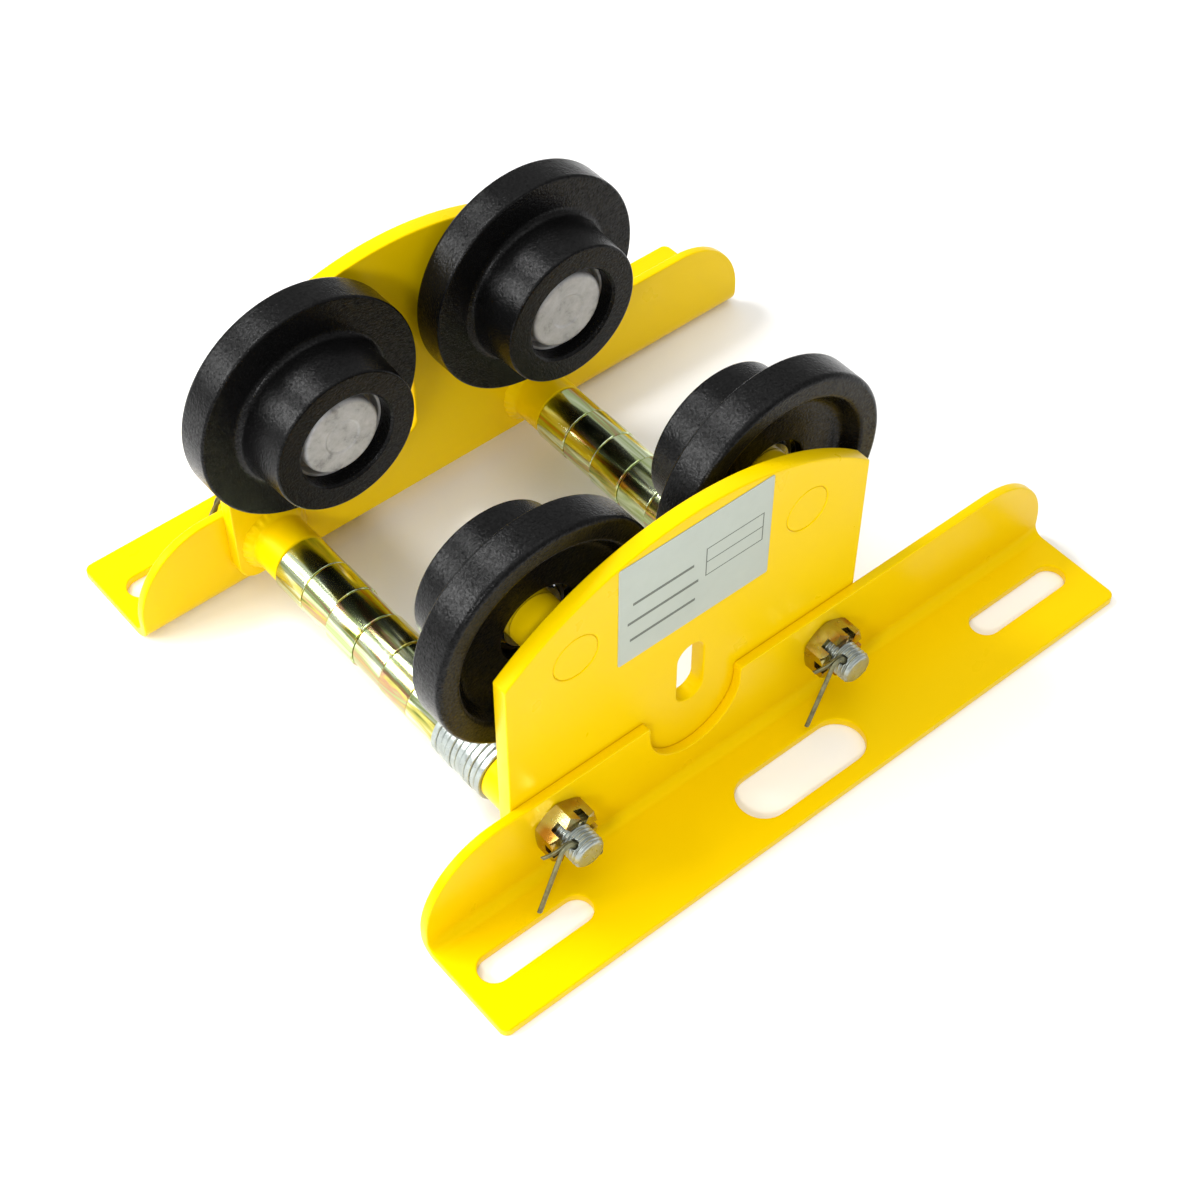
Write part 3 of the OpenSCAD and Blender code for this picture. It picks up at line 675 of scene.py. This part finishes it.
@kept
def label_film(f, c):
    """Pale film with frames and bars. A bar is where the distance past a box's edge is below 0,
    and a frame is where it is close to 0."""
    middle_x, middle_z = (float(v) for v in axis_of("label_plate"))
    axes = f.axes()
    across = f.math("SUBTRACT", axes["X"], middle_x)
    up = f.math("SUBTRACT", axes["Z"], middle_z)

    def past_edge(x, z, w, h):
        """Distance past the edge of a box, below 0 inside it."""
        dx = f.math("SUBTRACT", f.math("ABSOLUTE", f.math("SUBTRACT", across, x)), w / 2)
        dz = f.math("SUBTRACT", f.math("ABSOLUTE", f.math("SUBTRACT", up, z)), h / 2)
        return f.math("MAXIMUM", dx, dz)

    ink = 0.0
    for box in FRAMES:
        frame_line = f.math("LESS_THAN", f.math("ABSOLUTE", past_edge(*box)), FRAME_LINE)
        ink = f.math("MAXIMUM", frame_line, ink)
    for box in BARS:
        ink = f.math("MAXIMUM", f.math("LESS_THAN", past_edge(*box), 0), ink)
    paper = f.ramp(f.noise(45, detail=4, rough=0.6), (0.3, shade(c.label, 0.94)), (0.7, c.label))
    tint = f.add("ShaderNodeMix", {0: ink, 6: paper, 7: (*c.rule, 1)}, data_type="RGBA")
    return f.wire(Base_Color=tint.outputs[2], Roughness=f.spread(f.noise(300), 0.42, 0.55),
                  Metallic=0.15, Normal=f.bump(f.noise(700, detail=2), 0.015 * MM))


@kept
def floor_paper(f, c):
    """Matt white paper."""
    tone = f.ramp(f.noise(3), (0.3, shade(c.floor, 0.985)), (0.7, c.floor))
    return f.wire(Base_Color=tone, Roughness=0.9, Specular_IOR_Level=0.1,
                  Normal=f.bump(f.noise(250), 0.05 * MM))


# Pieces

class TROLLEY_OT_side_plates(bpy.types.Operator):
    """Side plates: painted sheet with a curved top, an upright slot and the bolts' and axles' holes"""
    bl_idname = "trolley.side_plates"
    bl_label = "Side plates"

    def execute(self, context):
        s = settings().sheet
        half = (PLATE_HI[0] - PLATE_LO[0]) / 2
        low, top, r = PLATE_LO[2], PLATE_HI[2], s.plate_top_r
        reach = np.arcsin(half / r)
        t = np.linspace(reach, -reach, 97)
        shoulder = np.where(np.abs(t) == reach, s.plate_shoulder, 0)
        arch = np.stack([r * np.sin(t), top - r + r * np.cos(t), shoulder], 1)
        foot = [[-half, low, s.plate_corner], [half, low, s.plate_corner]]
        outline = rounded(np.concatenate([foot, arch]), steps=10)
        holes = [obround(0, s.slot_z, s.slot_h, s.slot_w, upright=True)]
        for end in ENDS:
            for node, r in ((f"{end}_tie_bolt", s.bolt_hole), (f"front_{end}_wheel", s.axle_hole)):
                x, z = axis_of(node)
                holes.append(circle(x - SHIFT, z, r))
        for side in SIDES:
            sign = outward(side)
            points, faces = slab(
                [outline] + holes, PLATE_OUT - PLATE_IN, s.edge,
                lambda x, z, d: np.stack([SHIFT + x, sign * (PLATE_OUT - d), z], -1))
            made(f"{side}_plate_painted", points, faces, "frame",
                 [f"{side}_side_plate"], yellow_paint())
        return {"FINISHED"}


class TROLLEY_OT_brackets(bpy.types.Operator):
    """Brackets: one painted sheet, developed flat and bent up: foot, quarter round and leg"""
    bl_idname = "trolley.brackets"
    bl_label = "Angle brackets"

    def execute(self, context):
        s = settings().sheet
        half, height = BRACKET_HI[0], BRACKET_HI[2]
        foot_w = -BRACKET_LO[1] - PLATE_OUT
        round_out = s.bend + s.sheet
        start = foot_w - round_out
        stop = start + (s.bend + s.sheet / 2) * np.pi / 2
        top = stop + height - round_out

        def leg(z):
            """Run along the developed sheet at which the leg reaches height z."""
            return stop + z - round_out

        def place_on(sign):
            def place(x, run, depth):
                """Foot: level. Bend: angle a grows with the run, at the bend's radius plus the
                depth. Leg: upright."""
                a = np.clip((run - start) / (stop - start), 0, 1) * np.pi / 2
                r = s.bend + depth
                y = PLATE_OUT + round_out - r * np.sin(a) + np.clip(start - run, 0, None)
                z = round_out - r * np.cos(a) + np.clip(run - stop, 0, None)
                return np.stack([x, sign * y, z], -1)
            return place

        n = s.notch_w / 2
        level = leg(s.notch_bottom + n)
        t = np.linspace(0, -np.pi, 41)[1:-1]
        notch = np.stack([SHIFT + n * np.cos(t), level + n * np.sin(t)], 1)
        fold = np.linspace(start, stop, 13)
        side_edge = np.stack([np.full(len(fold), half), fold], 1)
        outline = rounded(np.concatenate([
            [[-half, 0, s.foot_corner], [half, 0, s.foot_corner]],
            sharp(side_edge),
            [[half, top, s.leg_corner], [SHIFT + n, top, s.notch_edge], [SHIFT + n, level, 0]],
            sharp(notch),
            [[SHIFT - n, level, 0], [SHIFT - n, top, s.notch_edge], [-half, top, s.leg_corner]],
            sharp(side_edge * (-1, 1))[::-1]]), steps=16)
        small_l, small_w, small_apart, small_from = s.small_slot
        large_l, large_w, large_from = s.large_slot
        holes = [obround(0, foot_w - large_from, large_l, large_w)]
        for end, sign in zip(ENDS, (-1, 1)):
            holes.append(obround(sign * small_apart / 2, foot_w - small_from, small_l, small_w))
            x, z = axis_of(f"{end}_tie_bolt")
            holes.append(circle(x, leg(z), s.bolt_hole))
        for side in SIDES:
            points, faces = slab([outline] + holes, s.sheet, s.edge, place_on(outward(side)),
                                 fold=(start, stop))
            made(f"{side}_bracket_painted", points, faces, "frame",
                 [f"{side}_bracket"], yellow_paint())
        return {"FINISHED"}


class TROLLEY_OT_label(bpy.types.Operator):
    """Label plate: thin film with round corners on the front side plate"""
    bl_idname = "trolley.label"
    bl_label = "Label plate"

    def execute(self, context):
        lo, hi = node_box("label_plate")
        r = settings().sheet.label_corner
        film_edge = 0.1 * MM
        outline = rounded([[lo[0], lo[2], r], [hi[0], lo[2], r], [hi[0], hi[2], r], [lo[0], hi[2], r]])
        points, faces = slab([outline], hi[1] - lo[1], film_edge,
                             lambda x, z, d: np.stack([x, lo[1] + d, z], -1))
        made("label_film_plate", points, faces, "frame", ["label_plate"], label_film())
        return {"FINISHED"}


def groove(ring, wall, floor, edge):
    """Corners of a circlip's groove, 0.1 mm wider than the ring, from its far end."""
    lo, hi = node_box(f"front_left_{ring}_circlip")
    near, far = lo[1] + PLATE_IN, hi[1] + PLATE_IN + 0.1 * MM
    return [[wall, far, edge], [floor, far, edge], [floor, near, edge], [wall, near, edge]]


def made_at_axles(node, suffix, shape, material, turns):
    """Puts a turned shape, whose run starts at the side plate's inner face, in the place of a CAD
    node at all four corners. It rides with its wheel if it turns, and with the frame if not."""
    points, faces, uv = shape
    for side, end in CORNERS:
        wheel = f"{side}_{end}_wheel"
        x, z = axis_of(wheel)
        sign = outward(side)
        placed = points * (1, -sign, 1) + (x, sign * PLATE_IN, z)
        name = f"{side}_{end}_{node}"
        made(f"{name}_{suffix}", placed, faces, wheel if turns else "frame", [name], material, uv)


class TROLLEY_OT_wheels(bpy.types.Operator):
    """Wheels: cast and turned profile of flange, tread, hub, recess and bore, revolved"""
    bl_idname = "trolley.wheels"
    bl_label = "Wheels"

    def execute(self, context):
        w = settings().wheel
        lo, hi = node_box("front_left_wheel")
        gap, end_u, rim = lo[1] + PLATE_IN, hi[1] + PLATE_IN, (hi[0] - lo[0]) / 2
        web, face = gap + w.recess_depth, gap + w.flange_w
        recess_draft = 4 * MM
        recess_fillet = 4 * MM
        recess_edge = 2 * MM
        lip_edge = 0.6 * MM
        chamfer = 0.8 * MM
        chamfer_edge = 0.3 * MM
        groove_edge = 0.1 * MM
        hidden_edge = 0.2 * MM
        profile = rounded([
            [w.lip_hole, web + w.lip, hidden_edge],
            [w.lip_hole, web, lip_edge],
            [w.recess_r - recess_draft, web, recess_fillet],
            [w.recess_r, gap, recess_edge],
            [rim, gap, 2 * w.flange_edge],
            [rim, face, w.flange_edge],
            [w.tread_r, face, w.root],
            [w.hub_r, end_u, w.hub_edge],
            [w.bore_r + chamfer, end_u, chamfer_edge],
            [w.bore_r, end_u - chamfer, chamfer_edge],
            *groove("wheel", w.bore_r, w.groove_r, groove_edge),
            [w.bore_r, web + w.lip, hidden_edge]], steps=8)
        made_at_axles("wheel", "cast", revolved(profile, w.segments),
                      black_paint(), turns=True)
        return {"FINISHED"}


class TROLLEY_OT_dust_caps(bpy.types.Operator):
    """Dust caps: pressed profile of rim, channel, wall and dimpled top, revolved"""
    bl_idname = "trolley.dust_caps"
    bl_label = "Dust caps"

    def execute(self, context):
        w = settings().wheel
        lo, hi = node_box("front_left_dust_cap")
        seat, top, rim = lo[1] + PLATE_IN, hi[1] + PLATE_IN, (hi[0] - lo[0]) / 2
        rim_depth = 6 * MM
        rim_u = node_box("front_left_wheel")[1][1] + PLATE_IN - rim_depth
        wall, t, inner = w.cap_wall, w.cap_sheet, w.cap_dimple
        deep, outer = 0.4 * MM, inner + 0.8 * MM
        bend = 0.4 * MM
        crease = 0.5 * MM
        rim_edge = 0.3 * MM
        profile = rounded([
            [0, top - deep - t, 0],
            [inner, top - deep - t, bend],
            [outer, top - t, bend],
            [wall - t, top - t, crease],
            [wall - t, seat, rim_edge],
            [rim, seat, crease],
            [rim, rim_u, rim_edge],
            [rim - t, rim_u, rim_edge],
            [rim - t, seat + t, bend],
            [wall, seat + t, bend],
            [wall, top, w.cap_edge],
            [outer, top, crease],
            [inner, top - deep, crease],
            [0, top - deep, 0]], steps=6)
        made_at_axles("dust_cap", "pressed", revolved(profile, w.segments, closed=False),
                      cap_steel(), turns=True)
        return {"FINISHED"}


class TROLLEY_OT_axles(bpy.types.Operator):
    """Axles: turned profile of plate end, painted collar and bearing journal, revolved"""
    bl_idname = "trolley.axles"
    bl_label = "Axles"

    def execute(self, context):
        s = settings().fastener
        lo, hi = node_box("front_left_axle")
        sunk = 0.12 * MM
        outer, end_u = lo[1] + PLATE_IN + sunk, hi[1] + PLATE_IN
        journal_u = node_box("front_left_bearing_inner_ring")[0][1] + PLATE_IN
        seat_edge = 0.5 * MM
        collar_edge = 0.4 * MM
        groove_edge = 0.08 * MM
        end_edge = 0.9 * MM
        profile = rounded([
            [0, outer, 0],
            [s.axle_seat, outer, seat_edge],
            [s.axle_seat, 0, 0],
            [s.collar_r, 0, 0],
            [s.collar_r, journal_u, collar_edge],
            [s.journal_r, journal_u, 0],
            *groove("axle", s.journal_r, s.axle_groove, groove_edge)[::-1],
            [s.journal_r, end_u, end_edge],
            [0, end_u, 0]])
        made_at_axles("axle", "painted", revolved(profile, SEGMENTS, closed=False),
                      yellow_paint(), turns=False)
        return {"FINISHED"}


class TROLLEY_OT_bosses(bpy.types.Operator):
    """Bosses: revolved tube whose weld bead swells and shrinks with the sine of the angle"""
    bl_idname = "trolley.bosses"
    bl_label = "Bosses with weld beads"

    def execute(self, context):
        s = settings().fastener
        lo, hi = node_box("front_left_boss")
        long, foot = hi[1] - lo[1], s.boss_r + s.bead
        t = np.radians(np.linspace(0, 90, 13))
        fullness = 0.97
        bulge = 0.245 * s.bead * np.sin(2 * t)
        seam = 0.05 * MM
        bead = np.stack([foot - s.bead * np.sin(t) * fullness + bulge,
                         seam + s.bead * (1 - np.cos(t)) * fullness + bulge], 1)
        end_edge = 0.5 * MM
        bore_edge = 0.3 * MM
        above_bead = 1.2 * s.bead
        above_foot = 0.2 * MM
        tube = rounded([
            [s.boss_r, above_bead, 0],
            [s.boss_r, long, end_edge],
            [s.boss_bore, long, bore_edge],
            [s.boss_bore, above_foot, 0]], closed=False)
        profile = np.concatenate([[[s.boss_bore, 0], [foot, 0]], bead, tube])

        fade_up = 1.15 * s.bead
        fade_in = 0.3 * s.bead
        ripple_size = 0.07
        ripple_drift = 0.8
        hump_size = 0.06
        highest = 0.11
        sunk = 0.12
        segments = 156

        def swell(t, r, u):
            """Radius plus the bead's size times a wave that is cut off at its highest, less a
            constant: ripples whose spacing drifts, over five slow humps. The wave and the constant
            fade out where the bead meets the tube."""
            share = np.clip(1 - u / fade_up, 0, 1) * np.clip((r - s.boss_r) / fade_in, 0, 1)
            ripple = ripple_size * np.sin(s.ripples * t + ripple_drift * np.sin(3 * t))
            hump = hump_size * np.sin(5 * t + 1)
            return r + s.bead * share * (np.minimum(ripple + hump, highest) - sunk)

        points, faces, uv = revolved(profile, segments, swell=swell)
        for side, end in CORNERS:
            x, z = axis_of(f"{end}_tie_bolt")
            sign = outward(side)
            name = f"{side}_{end}_boss"
            made(f"{name}_welded", points * (1, -sign, 1) + (x, sign * PLATE_IN, z), faces,
                 "frame", [name], yellow_paint(), uv)
        return {"FINISHED"}


def hung_rings(end, first_y, count, long, outer, bore, edge, roll, stride):
    """Rings side by side along the tie bolt. Each hangs on it, lower by its bore's radius less
    the bolt's, and rolled aside by the angle roll * sin(stride * its number), in degrees."""
    s = settings().fastener
    x, z = axis_of(f"{end}_tie_bolt")
    thick = long - s.stack_fit
    profile = rounded([[bore, 0, edge / 2], [outer, 0, edge], [outer, thick, edge],
                       [bore, thick, edge / 2]], steps=4, margin=FLAT_MARGIN / 2)
    points, faces, uv = revolved(profile, SEGMENTS)
    number = np.arange(count)
    aside = np.radians(roll * np.sin(np.radians(stride * number)))
    drop = bore - s.bolt_r - FIT
    moves = np.stack([x + drop * np.sin(aside), first_y - number * long - long + s.stack_fit / 2,
                      z - drop * np.cos(aside)], 1)
    every = (points[None] + moves[:, None]).reshape(-1, 3)
    all_faces = (faces[None] + (number * len(points))[:, None, None]).reshape(-1, 4)
    return every, all_faces, np.tile(uv, (count, 1, 1))


class TROLLEY_OT_spacer_tubes(bpy.types.Operator):
    """Spacer tubes: revolved tubes with bevelled ends, hung on the tie bolts"""
    bl_idname = "trolley.spacer_tubes"
    bl_label = "Spacer tubes"

    def execute(self, context):
        s = settings().fastener
        for end in ENDS:
            first = node_box(f"back_{end}_boss")[0][1]
            points, faces, uv = hung_rings(end, first, s.spacers, s.spacer_len, s.spacer_r,
                                           s.spacer_bore, edge=0.5 * MM, roll=25, stride=137)
            made(f"{end}_spacers_plated", points, faces, "frame",
                 [f"{end}_spacer_tubes"], pale_gold_zinc(), uv)
        return {"FINISHED"}


class TROLLEY_OT_washers(bpy.types.Operator):
    """Washers: thin revolved rings with round edges, hung on the tie bolts"""
    bl_idname = "trolley.washers"
    bl_label = "Washers"

    def execute(self, context):
        s = settings().fastener
        for end in ENDS:
            first = node_box(f"front_{end}_boss")[1][1] + s.washers * s.washer_t
            points, faces, uv = hung_rings(end, first, s.washers, s.washer_t, s.washer_r,
                                           s.washer_bore, edge=0.45 * MM, roll=30, stride=97)
            made(f"{end}_washers_plated", points, faces, "frame",
                 [f"{end}_washers"], white_zinc(), uv)
        return {"FINISHED"}


class TROLLEY_OT_tie_bolts(bpy.types.Operator):
    """Tie bolts: radius as a function of angle and length, with a helical thread at each end"""
    bl_idname = "trolley.tie_bolts"
    bl_label = "Tie bolts"

    def execute(self, context):
        s = settings().fastener
        lo, hi = node_box("left_tie_bolt")
        half = (hi[1] - lo[1]) / 2
        runout = 2 * MM
        lead_in = 0.8 * MM
        chamfer = 1 * MM
        rows_per_turn = 12
        segments = 144
        face_rings = np.array([0.75, 0.4, 0.0])
        near = half - np.arange(0, s.thread_len + runout, s.pitch / rows_per_turn)
        y = np.concatenate([-near, np.linspace(-near[-1], near[-1], 9)[1:-1], near[::-1]])
        t = np.linspace(0, 2 * np.pi, segments, endpoint=False)
        away = half - np.abs(y)[:, None]
        r = s.bolt_r - FIT - s.thread_depth * self.ridge(y, t) * (
            np.clip((s.thread_len - away) / runout, 0, 1) * np.clip(away / lead_in, 0, 1))
        r = np.minimum(r, s.bolt_r - chamfer + away) - self.pin_hole(t, away)
        face_r = (s.bolt_r - chamfer) * face_rings[:, None, None]
        face = np.stack([np.sin(t), 0 * t, np.cos(t)], -1)[None] * face_r
        faces = grid_faces(len(y) + 2 * len(face), len(t))
        for end in ENDS:
            x, z = axis_of(f"{end}_tie_bolt")
            body = np.stack([x + r * np.sin(t), y[:, None] + 0 * r, z + r * np.cos(t)], -1)
            points = np.concatenate([face[::-1] + (x, -half, z), body, face + (x, half, z)])
            made(f"{end}_tie_bolt_threaded", points.reshape(-1, 3), faces, "frame",
                 [f"{end}_tie_bolt"], white_zinc())
        return {"FINISHED"}

    def ridge(self, y, t):
        """Share of the thread's depth that is cut away: it rises and falls with the place between
        two turns of the helix y = pitch * t / turn, with flat crest and root."""
        crest, flank = 0.12, 0.74
        turn = np.mod(y[:, None] / settings().fastener.pitch - t[None, :] / (2 * np.pi), 1)
        return np.clip((np.abs(2 * turn - 1) - crest) / flank, 0, 1)

    def pin_hole(self, t, away):
        """Depth of the dents at both mouths of the split pin's hole. A dent is deep where the
        distance from the hole's axis is small."""
        s = settings().fastener
        depth, mouth, edge = 2.2 * MM, 1.75 * MM, 0.25 * MM
        beside = s.bolt_r * (np.cos(t) * np.cos(s.pin_turn) - np.sin(t) * np.sin(s.pin_turn))
        from_axis = np.hypot(beside[None, :], away - s.pin_place)
        return depth * np.clip((mouth - from_axis) / edge, 0, 1)


def finish_node(node, material):
    """Gives a CAD node a material."""
    node.data.materials.clear()
    node.data.materials.append(material)


class TROLLEY_OT_castle_nuts(bpy.types.Operator):
    """Castle nuts: the CAD nuts with their edges bevelled"""
    bl_idname = "trolley.castle_nuts"
    bl_label = "Castle nuts"

    def execute(self, context):
        weld_distance = 0.001 * MM
        flat_angle = np.radians(1.5)
        edge_angle = np.radians(32)
        for side, end in CORNERS:
            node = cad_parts[f"{side}_{end}_castle_nut"]
            weld = node.modifiers.new("weld", "WELD")
            weld.merge_threshold = weld_distance
            flat = node.modifiers.new("flat", "DECIMATE")
            flat.decimate_type = "DISSOLVE"
            flat.angle_limit = flat_angle
            bevel = node.modifiers.new("edges", "BEVEL")
            bevel.width = settings().fastener.nut_edge
            bevel.segments = 2
            bevel.limit_method = "ANGLE"
            bevel.angle_limit = edge_angle
            bevel.use_clamp_overlap = True
            finish_node(node, gold_zinc())
        return {"FINISHED"}


def pin_path(s):
    """Centreline of a split pin on its flat face, with its heading and the way to its round side.
    A leg leaves the bolt on a circle and then runs straight. The eye is most of a circle between
    two necks, around a middle that is 1.55 eye radii from them."""
    gap = 0.06 * MM
    stub = 1 * MM
    neck = -s.bolt_r - 0.5 * MM
    eye_reach = 1.55
    dip_curve = 1.5
    opening = np.arccos(1 / eye_reach)

    def leg(turn, z, long, dip, way):
        """Quarter circle or less, then a straight line. It dips by a power of the share run."""
        a = np.linspace(0, turn, 22)
        bend = np.stack([s.bolt_r + stub + s.leg_bend_r * np.sin(a),
                         s.leg_bend_r * (1 - np.cos(a)), np.full(len(a), z)], 1)
        k = np.linspace(0, 1, 9)[1:, None]
        along = np.array([np.cos(turn), np.sin(turn), 0])
        line = bend[-1] + k * long * along + k ** dip_curve * np.array([0, 0, -dip])
        bend_heads = np.stack([np.cos(a), np.sin(a), 0 * a], 1)
        heads = way * np.concatenate([bend_heads, np.repeat(along[None], len(k), 0)])
        ways = np.repeat([[0, 0, -way]], len(heads), 0)
        return np.concatenate([bend, line]), heads, ways

    def neck_point(sign):
        """Corner between a leg and the eye, turned half of the way from one to the other."""
        half = (np.pi / 2 - opening) / 2
        return ([[neck, 0, sign * gap]], [[-sign * np.cos(half), 0, np.sin(half)]],
                [[np.sin(half), 0, sign * np.cos(half)]])

    a = np.linspace(opening, 2 * np.pi - opening, 40)
    round_way = np.stack([np.cos(a), 0 * a, np.sin(a)], 1)
    eye = (round_way * s.eye_r + (neck - s.eye_r * eye_reach, 0, 0),
           np.stack([-np.sin(a), 0 * a, np.cos(a)], 1), round_way)
    long_leg = [rows[::-1] for rows in leg(s.long_bend, gap, s.long_leg, 0, -1)]
    short_leg = leg(s.short_bend, -gap, s.short_leg, s.short_dip, 1)
    stretches = (long_leg, neck_point(1), eye, neck_point(-1), short_leg)
    return [np.concatenate(rows) for rows in zip(*stretches)]


class TROLLEY_OT_split_pins(bpy.types.Operator):
    """Split pins: a half-round section carried along the pin's path, with round ends"""
    bl_idname = "trolley.split_pins"
    bl_label = "Split pins"

    def execute(self, context):
        s = settings().fastener
        path, heads, ways = pin_path(s)
        t = np.linspace(0, np.pi, 15)
        half_round = sharp(np.stack([np.cos(t), np.sin(t)], 1) * s.pin_r)
        section_edge = 0.25 * MM
        half_round[[0, -1], 2] = section_edge
        section = rounded(half_round, steps=3, margin=0)
        tip = 0.12 * MM
        tip_scale = 0.86
        middle = np.array([0, 0.42 * s.pin_r])
        path = np.concatenate([path[:1] - tip * heads[:1], path, path[-1:] + tip * heads[-1:]])
        heads = np.concatenate([heads[:1], heads, heads[-1:]])
        ways = np.concatenate([ways[:1], ways, ways[-1:]])
        scale = np.ones((len(path), 1, 1))
        scale[[0, -1]] = tip_scale
        flat = (section - middle) * scale + middle
        across = np.cross(heads, ways)
        rings = path[:, None] + flat[..., :1] * across[:, None] + flat[..., 1:] * ways[:, None]
        closing = [np.repeat([[path[k] + middle[1] * ways[k]]], len(section), 1) for k in (0, -1)]
        grid = np.concatenate([closing[0], rings, closing[1]])
        faces = grid_faces(len(grid), len(section))
        cosine, sine = np.cos(s.pin_turn), np.sin(s.pin_turn)
        lx, ly, lz = grid.reshape(-1, 3).T
        half = node_box("left_tie_bolt")[1][1]
        for side, end in CORNERS:
            x, z = axis_of(f"{end}_tie_bolt")
            y = outward(side) * (half - s.pin_place + lz)
            points = np.stack([x + lx * cosine - ly * sine, y, z + lx * sine + ly * cosine], 1)
            name = f"{side}_{end}_split_pin"
            made(f"{name}_bent", points, faces, "frame", [name], pin_steel())
        return {"FINISHED"}


class TROLLEY_OT_bearings(bpy.types.Operator):
    """Bearings and circlips: the CAD solids with their steel finishes"""
    bl_idname = "trolley.bearings"
    bl_label = "Bearings and circlips"

    def execute(self, context):
        finishes = {
            "bearing_outer_ring": bearing_steel, "bearing_inner_ring": bearing_steel,
            "bearing_balls": bearing_steel, "bearing_cage": pressed_steel,
            "wheel_circlip": spring_steel, "axle_circlip": spring_steel}
        for side, end in CORNERS:
            for piece, finish in finishes.items():
                finish_node(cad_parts[f"{side}_{end}_{piece}"], finish())
        return {"FINISHED"}


# Each light: its name, its place, the point that it faces, and its width and height
LIGHTS = (
    ("top", (0, 0, 2.2), (0, 0, 0), (2.5, 2.5)),
    ("key", (-0.35, 0.6, 1.1), (0, 0, 0.05), (0.25, 0.25)),
    ("rim", (-1.1, 0.6, 0.75), (0, 0, 0.06), (0.9, 0.4)),
    ("fill", (-0.9, -0.75, 0.75), (0, 0, 0.05), (0.2, 0.2)),
)


def area_light(name, place, aim, size, power):
    """Rectangular light at a place, turned to a point."""
    light = bpy.data.lights.new(name, "AREA")
    light.shape = "RECTANGLE"
    light.size, light.size_y = size
    light.energy = power
    lamp = bpy.data.objects.new(name, light)
    lamp.location = place
    lamp.rotation_euler = (Vector(aim) - Vector(place)).to_track_quat("-Z", "Y").to_euler()
    bpy.context.scene.collection.objects.link(lamp)


class TROLLEY_OT_studio(bpy.types.Operator):
    """Studio: pale floor, soft lights and the camera at the photograph's viewing angle"""
    bl_idname = "trolley.studio"
    bl_label = "Studio"

    def execute(self, context):
        s = settings().studio
        scene = context.scene
        half_floor, floor_points, floor_drop = 6, 9, 0.03 * MM
        t = np.linspace(-half_floor, half_floor, floor_points)
        x, y = np.meshgrid(t, t)
        floor = bpy.data.meshes.new("studio_floor")
        floor.from_pydata(np.stack([x, y, 0 * x - floor_drop], -1).reshape(-1, 3).tolist(), [],
                          grid_faces(floor_points, floor_points, around=False).tolist())
        floor.materials.append(floor_paper())
        ground = bpy.data.objects.new("studio_floor", floor)
        scene.collection.objects.link(ground)
        for name, place, aim, size in LIGHTS:
            area_light(f"{name}_light", place, aim, size, getattr(s, name))
        world = bpy.data.worlds.new("pale_surround")
        world.use_nodes = True
        sky = world.node_tree.nodes["Background"]
        sky.inputs["Color"].default_value = (1, 1, 1, 1)
        sky.inputs["Strength"].default_value = s.sky
        scene.world = world
        scene.view_settings.view_transform = "Standard"
        sensor_mm = 36
        nearest, farthest = 0.05, 30
        lens = bpy.data.cameras.new("photo_camera")
        lens.lens = s.lens
        lens.sensor_width = sensor_mm
        lens.clip_start = nearest
        lens.clip_end = farthest
        camera = bpy.data.objects.new("photo_camera", lens)
        camera.location = s.eye
        camera.rotation_euler = Euler(s.turn, "XYZ")
        scene.collection.objects.link(camera)
        scene.camera = camera
        return {"FINISHED"}


PIECES = (
    TROLLEY_OT_side_plates, TROLLEY_OT_brackets, TROLLEY_OT_label, TROLLEY_OT_wheels,
    TROLLEY_OT_dust_caps, TROLLEY_OT_axles, TROLLEY_OT_bosses, TROLLEY_OT_spacer_tubes,
    TROLLEY_OT_washers, TROLLEY_OT_tie_bolts, TROLLEY_OT_castle_nuts, TROLLEY_OT_split_pins,
    TROLLEY_OT_bearings, TROLLEY_OT_studio)


class TROLLEY_PT_panel(bpy.types.Panel):
    """Lists the trolley's pieces and the studio"""
    bl_idname = "TROLLEY_PT_panel"
    bl_label = "Beam trolley"
    bl_space_type = "VIEW_3D"
    bl_region_type = "UI"
    bl_category = "Trolley"

    def draw(self, context):
        for piece in PIECES:
            self.layout.operator(piece.bl_idname)


CLASSES = (SheetSizes, WheelSizes, FastenerSizes, Colours, Studio, Trolley, *PIECES, TROLLEY_PT_panel)


def register():
    """Registers the classes and adds the trolley's settings to the scene."""
    for cls in CLASSES:
        bpy.utils.register_class(cls)
    bpy.types.Scene.trolley = PointerProperty(type=Trolley, name="Trolley",
                                              description="Sizes and colours of the trolley")


def unregister():
    """Takes away what register added."""
    del bpy.types.Scene.trolley
    for cls in reversed(CLASSES):
        bpy.utils.unregister_class(cls)


def main():
    """Makes all pieces and the studio."""
    register()
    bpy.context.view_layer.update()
    for piece in PIECES:
        space, name = piece.bl_idname.split(".")
        getattr(getattr(bpy.ops, space), name)()


if __name__ == "__main__":
    main()
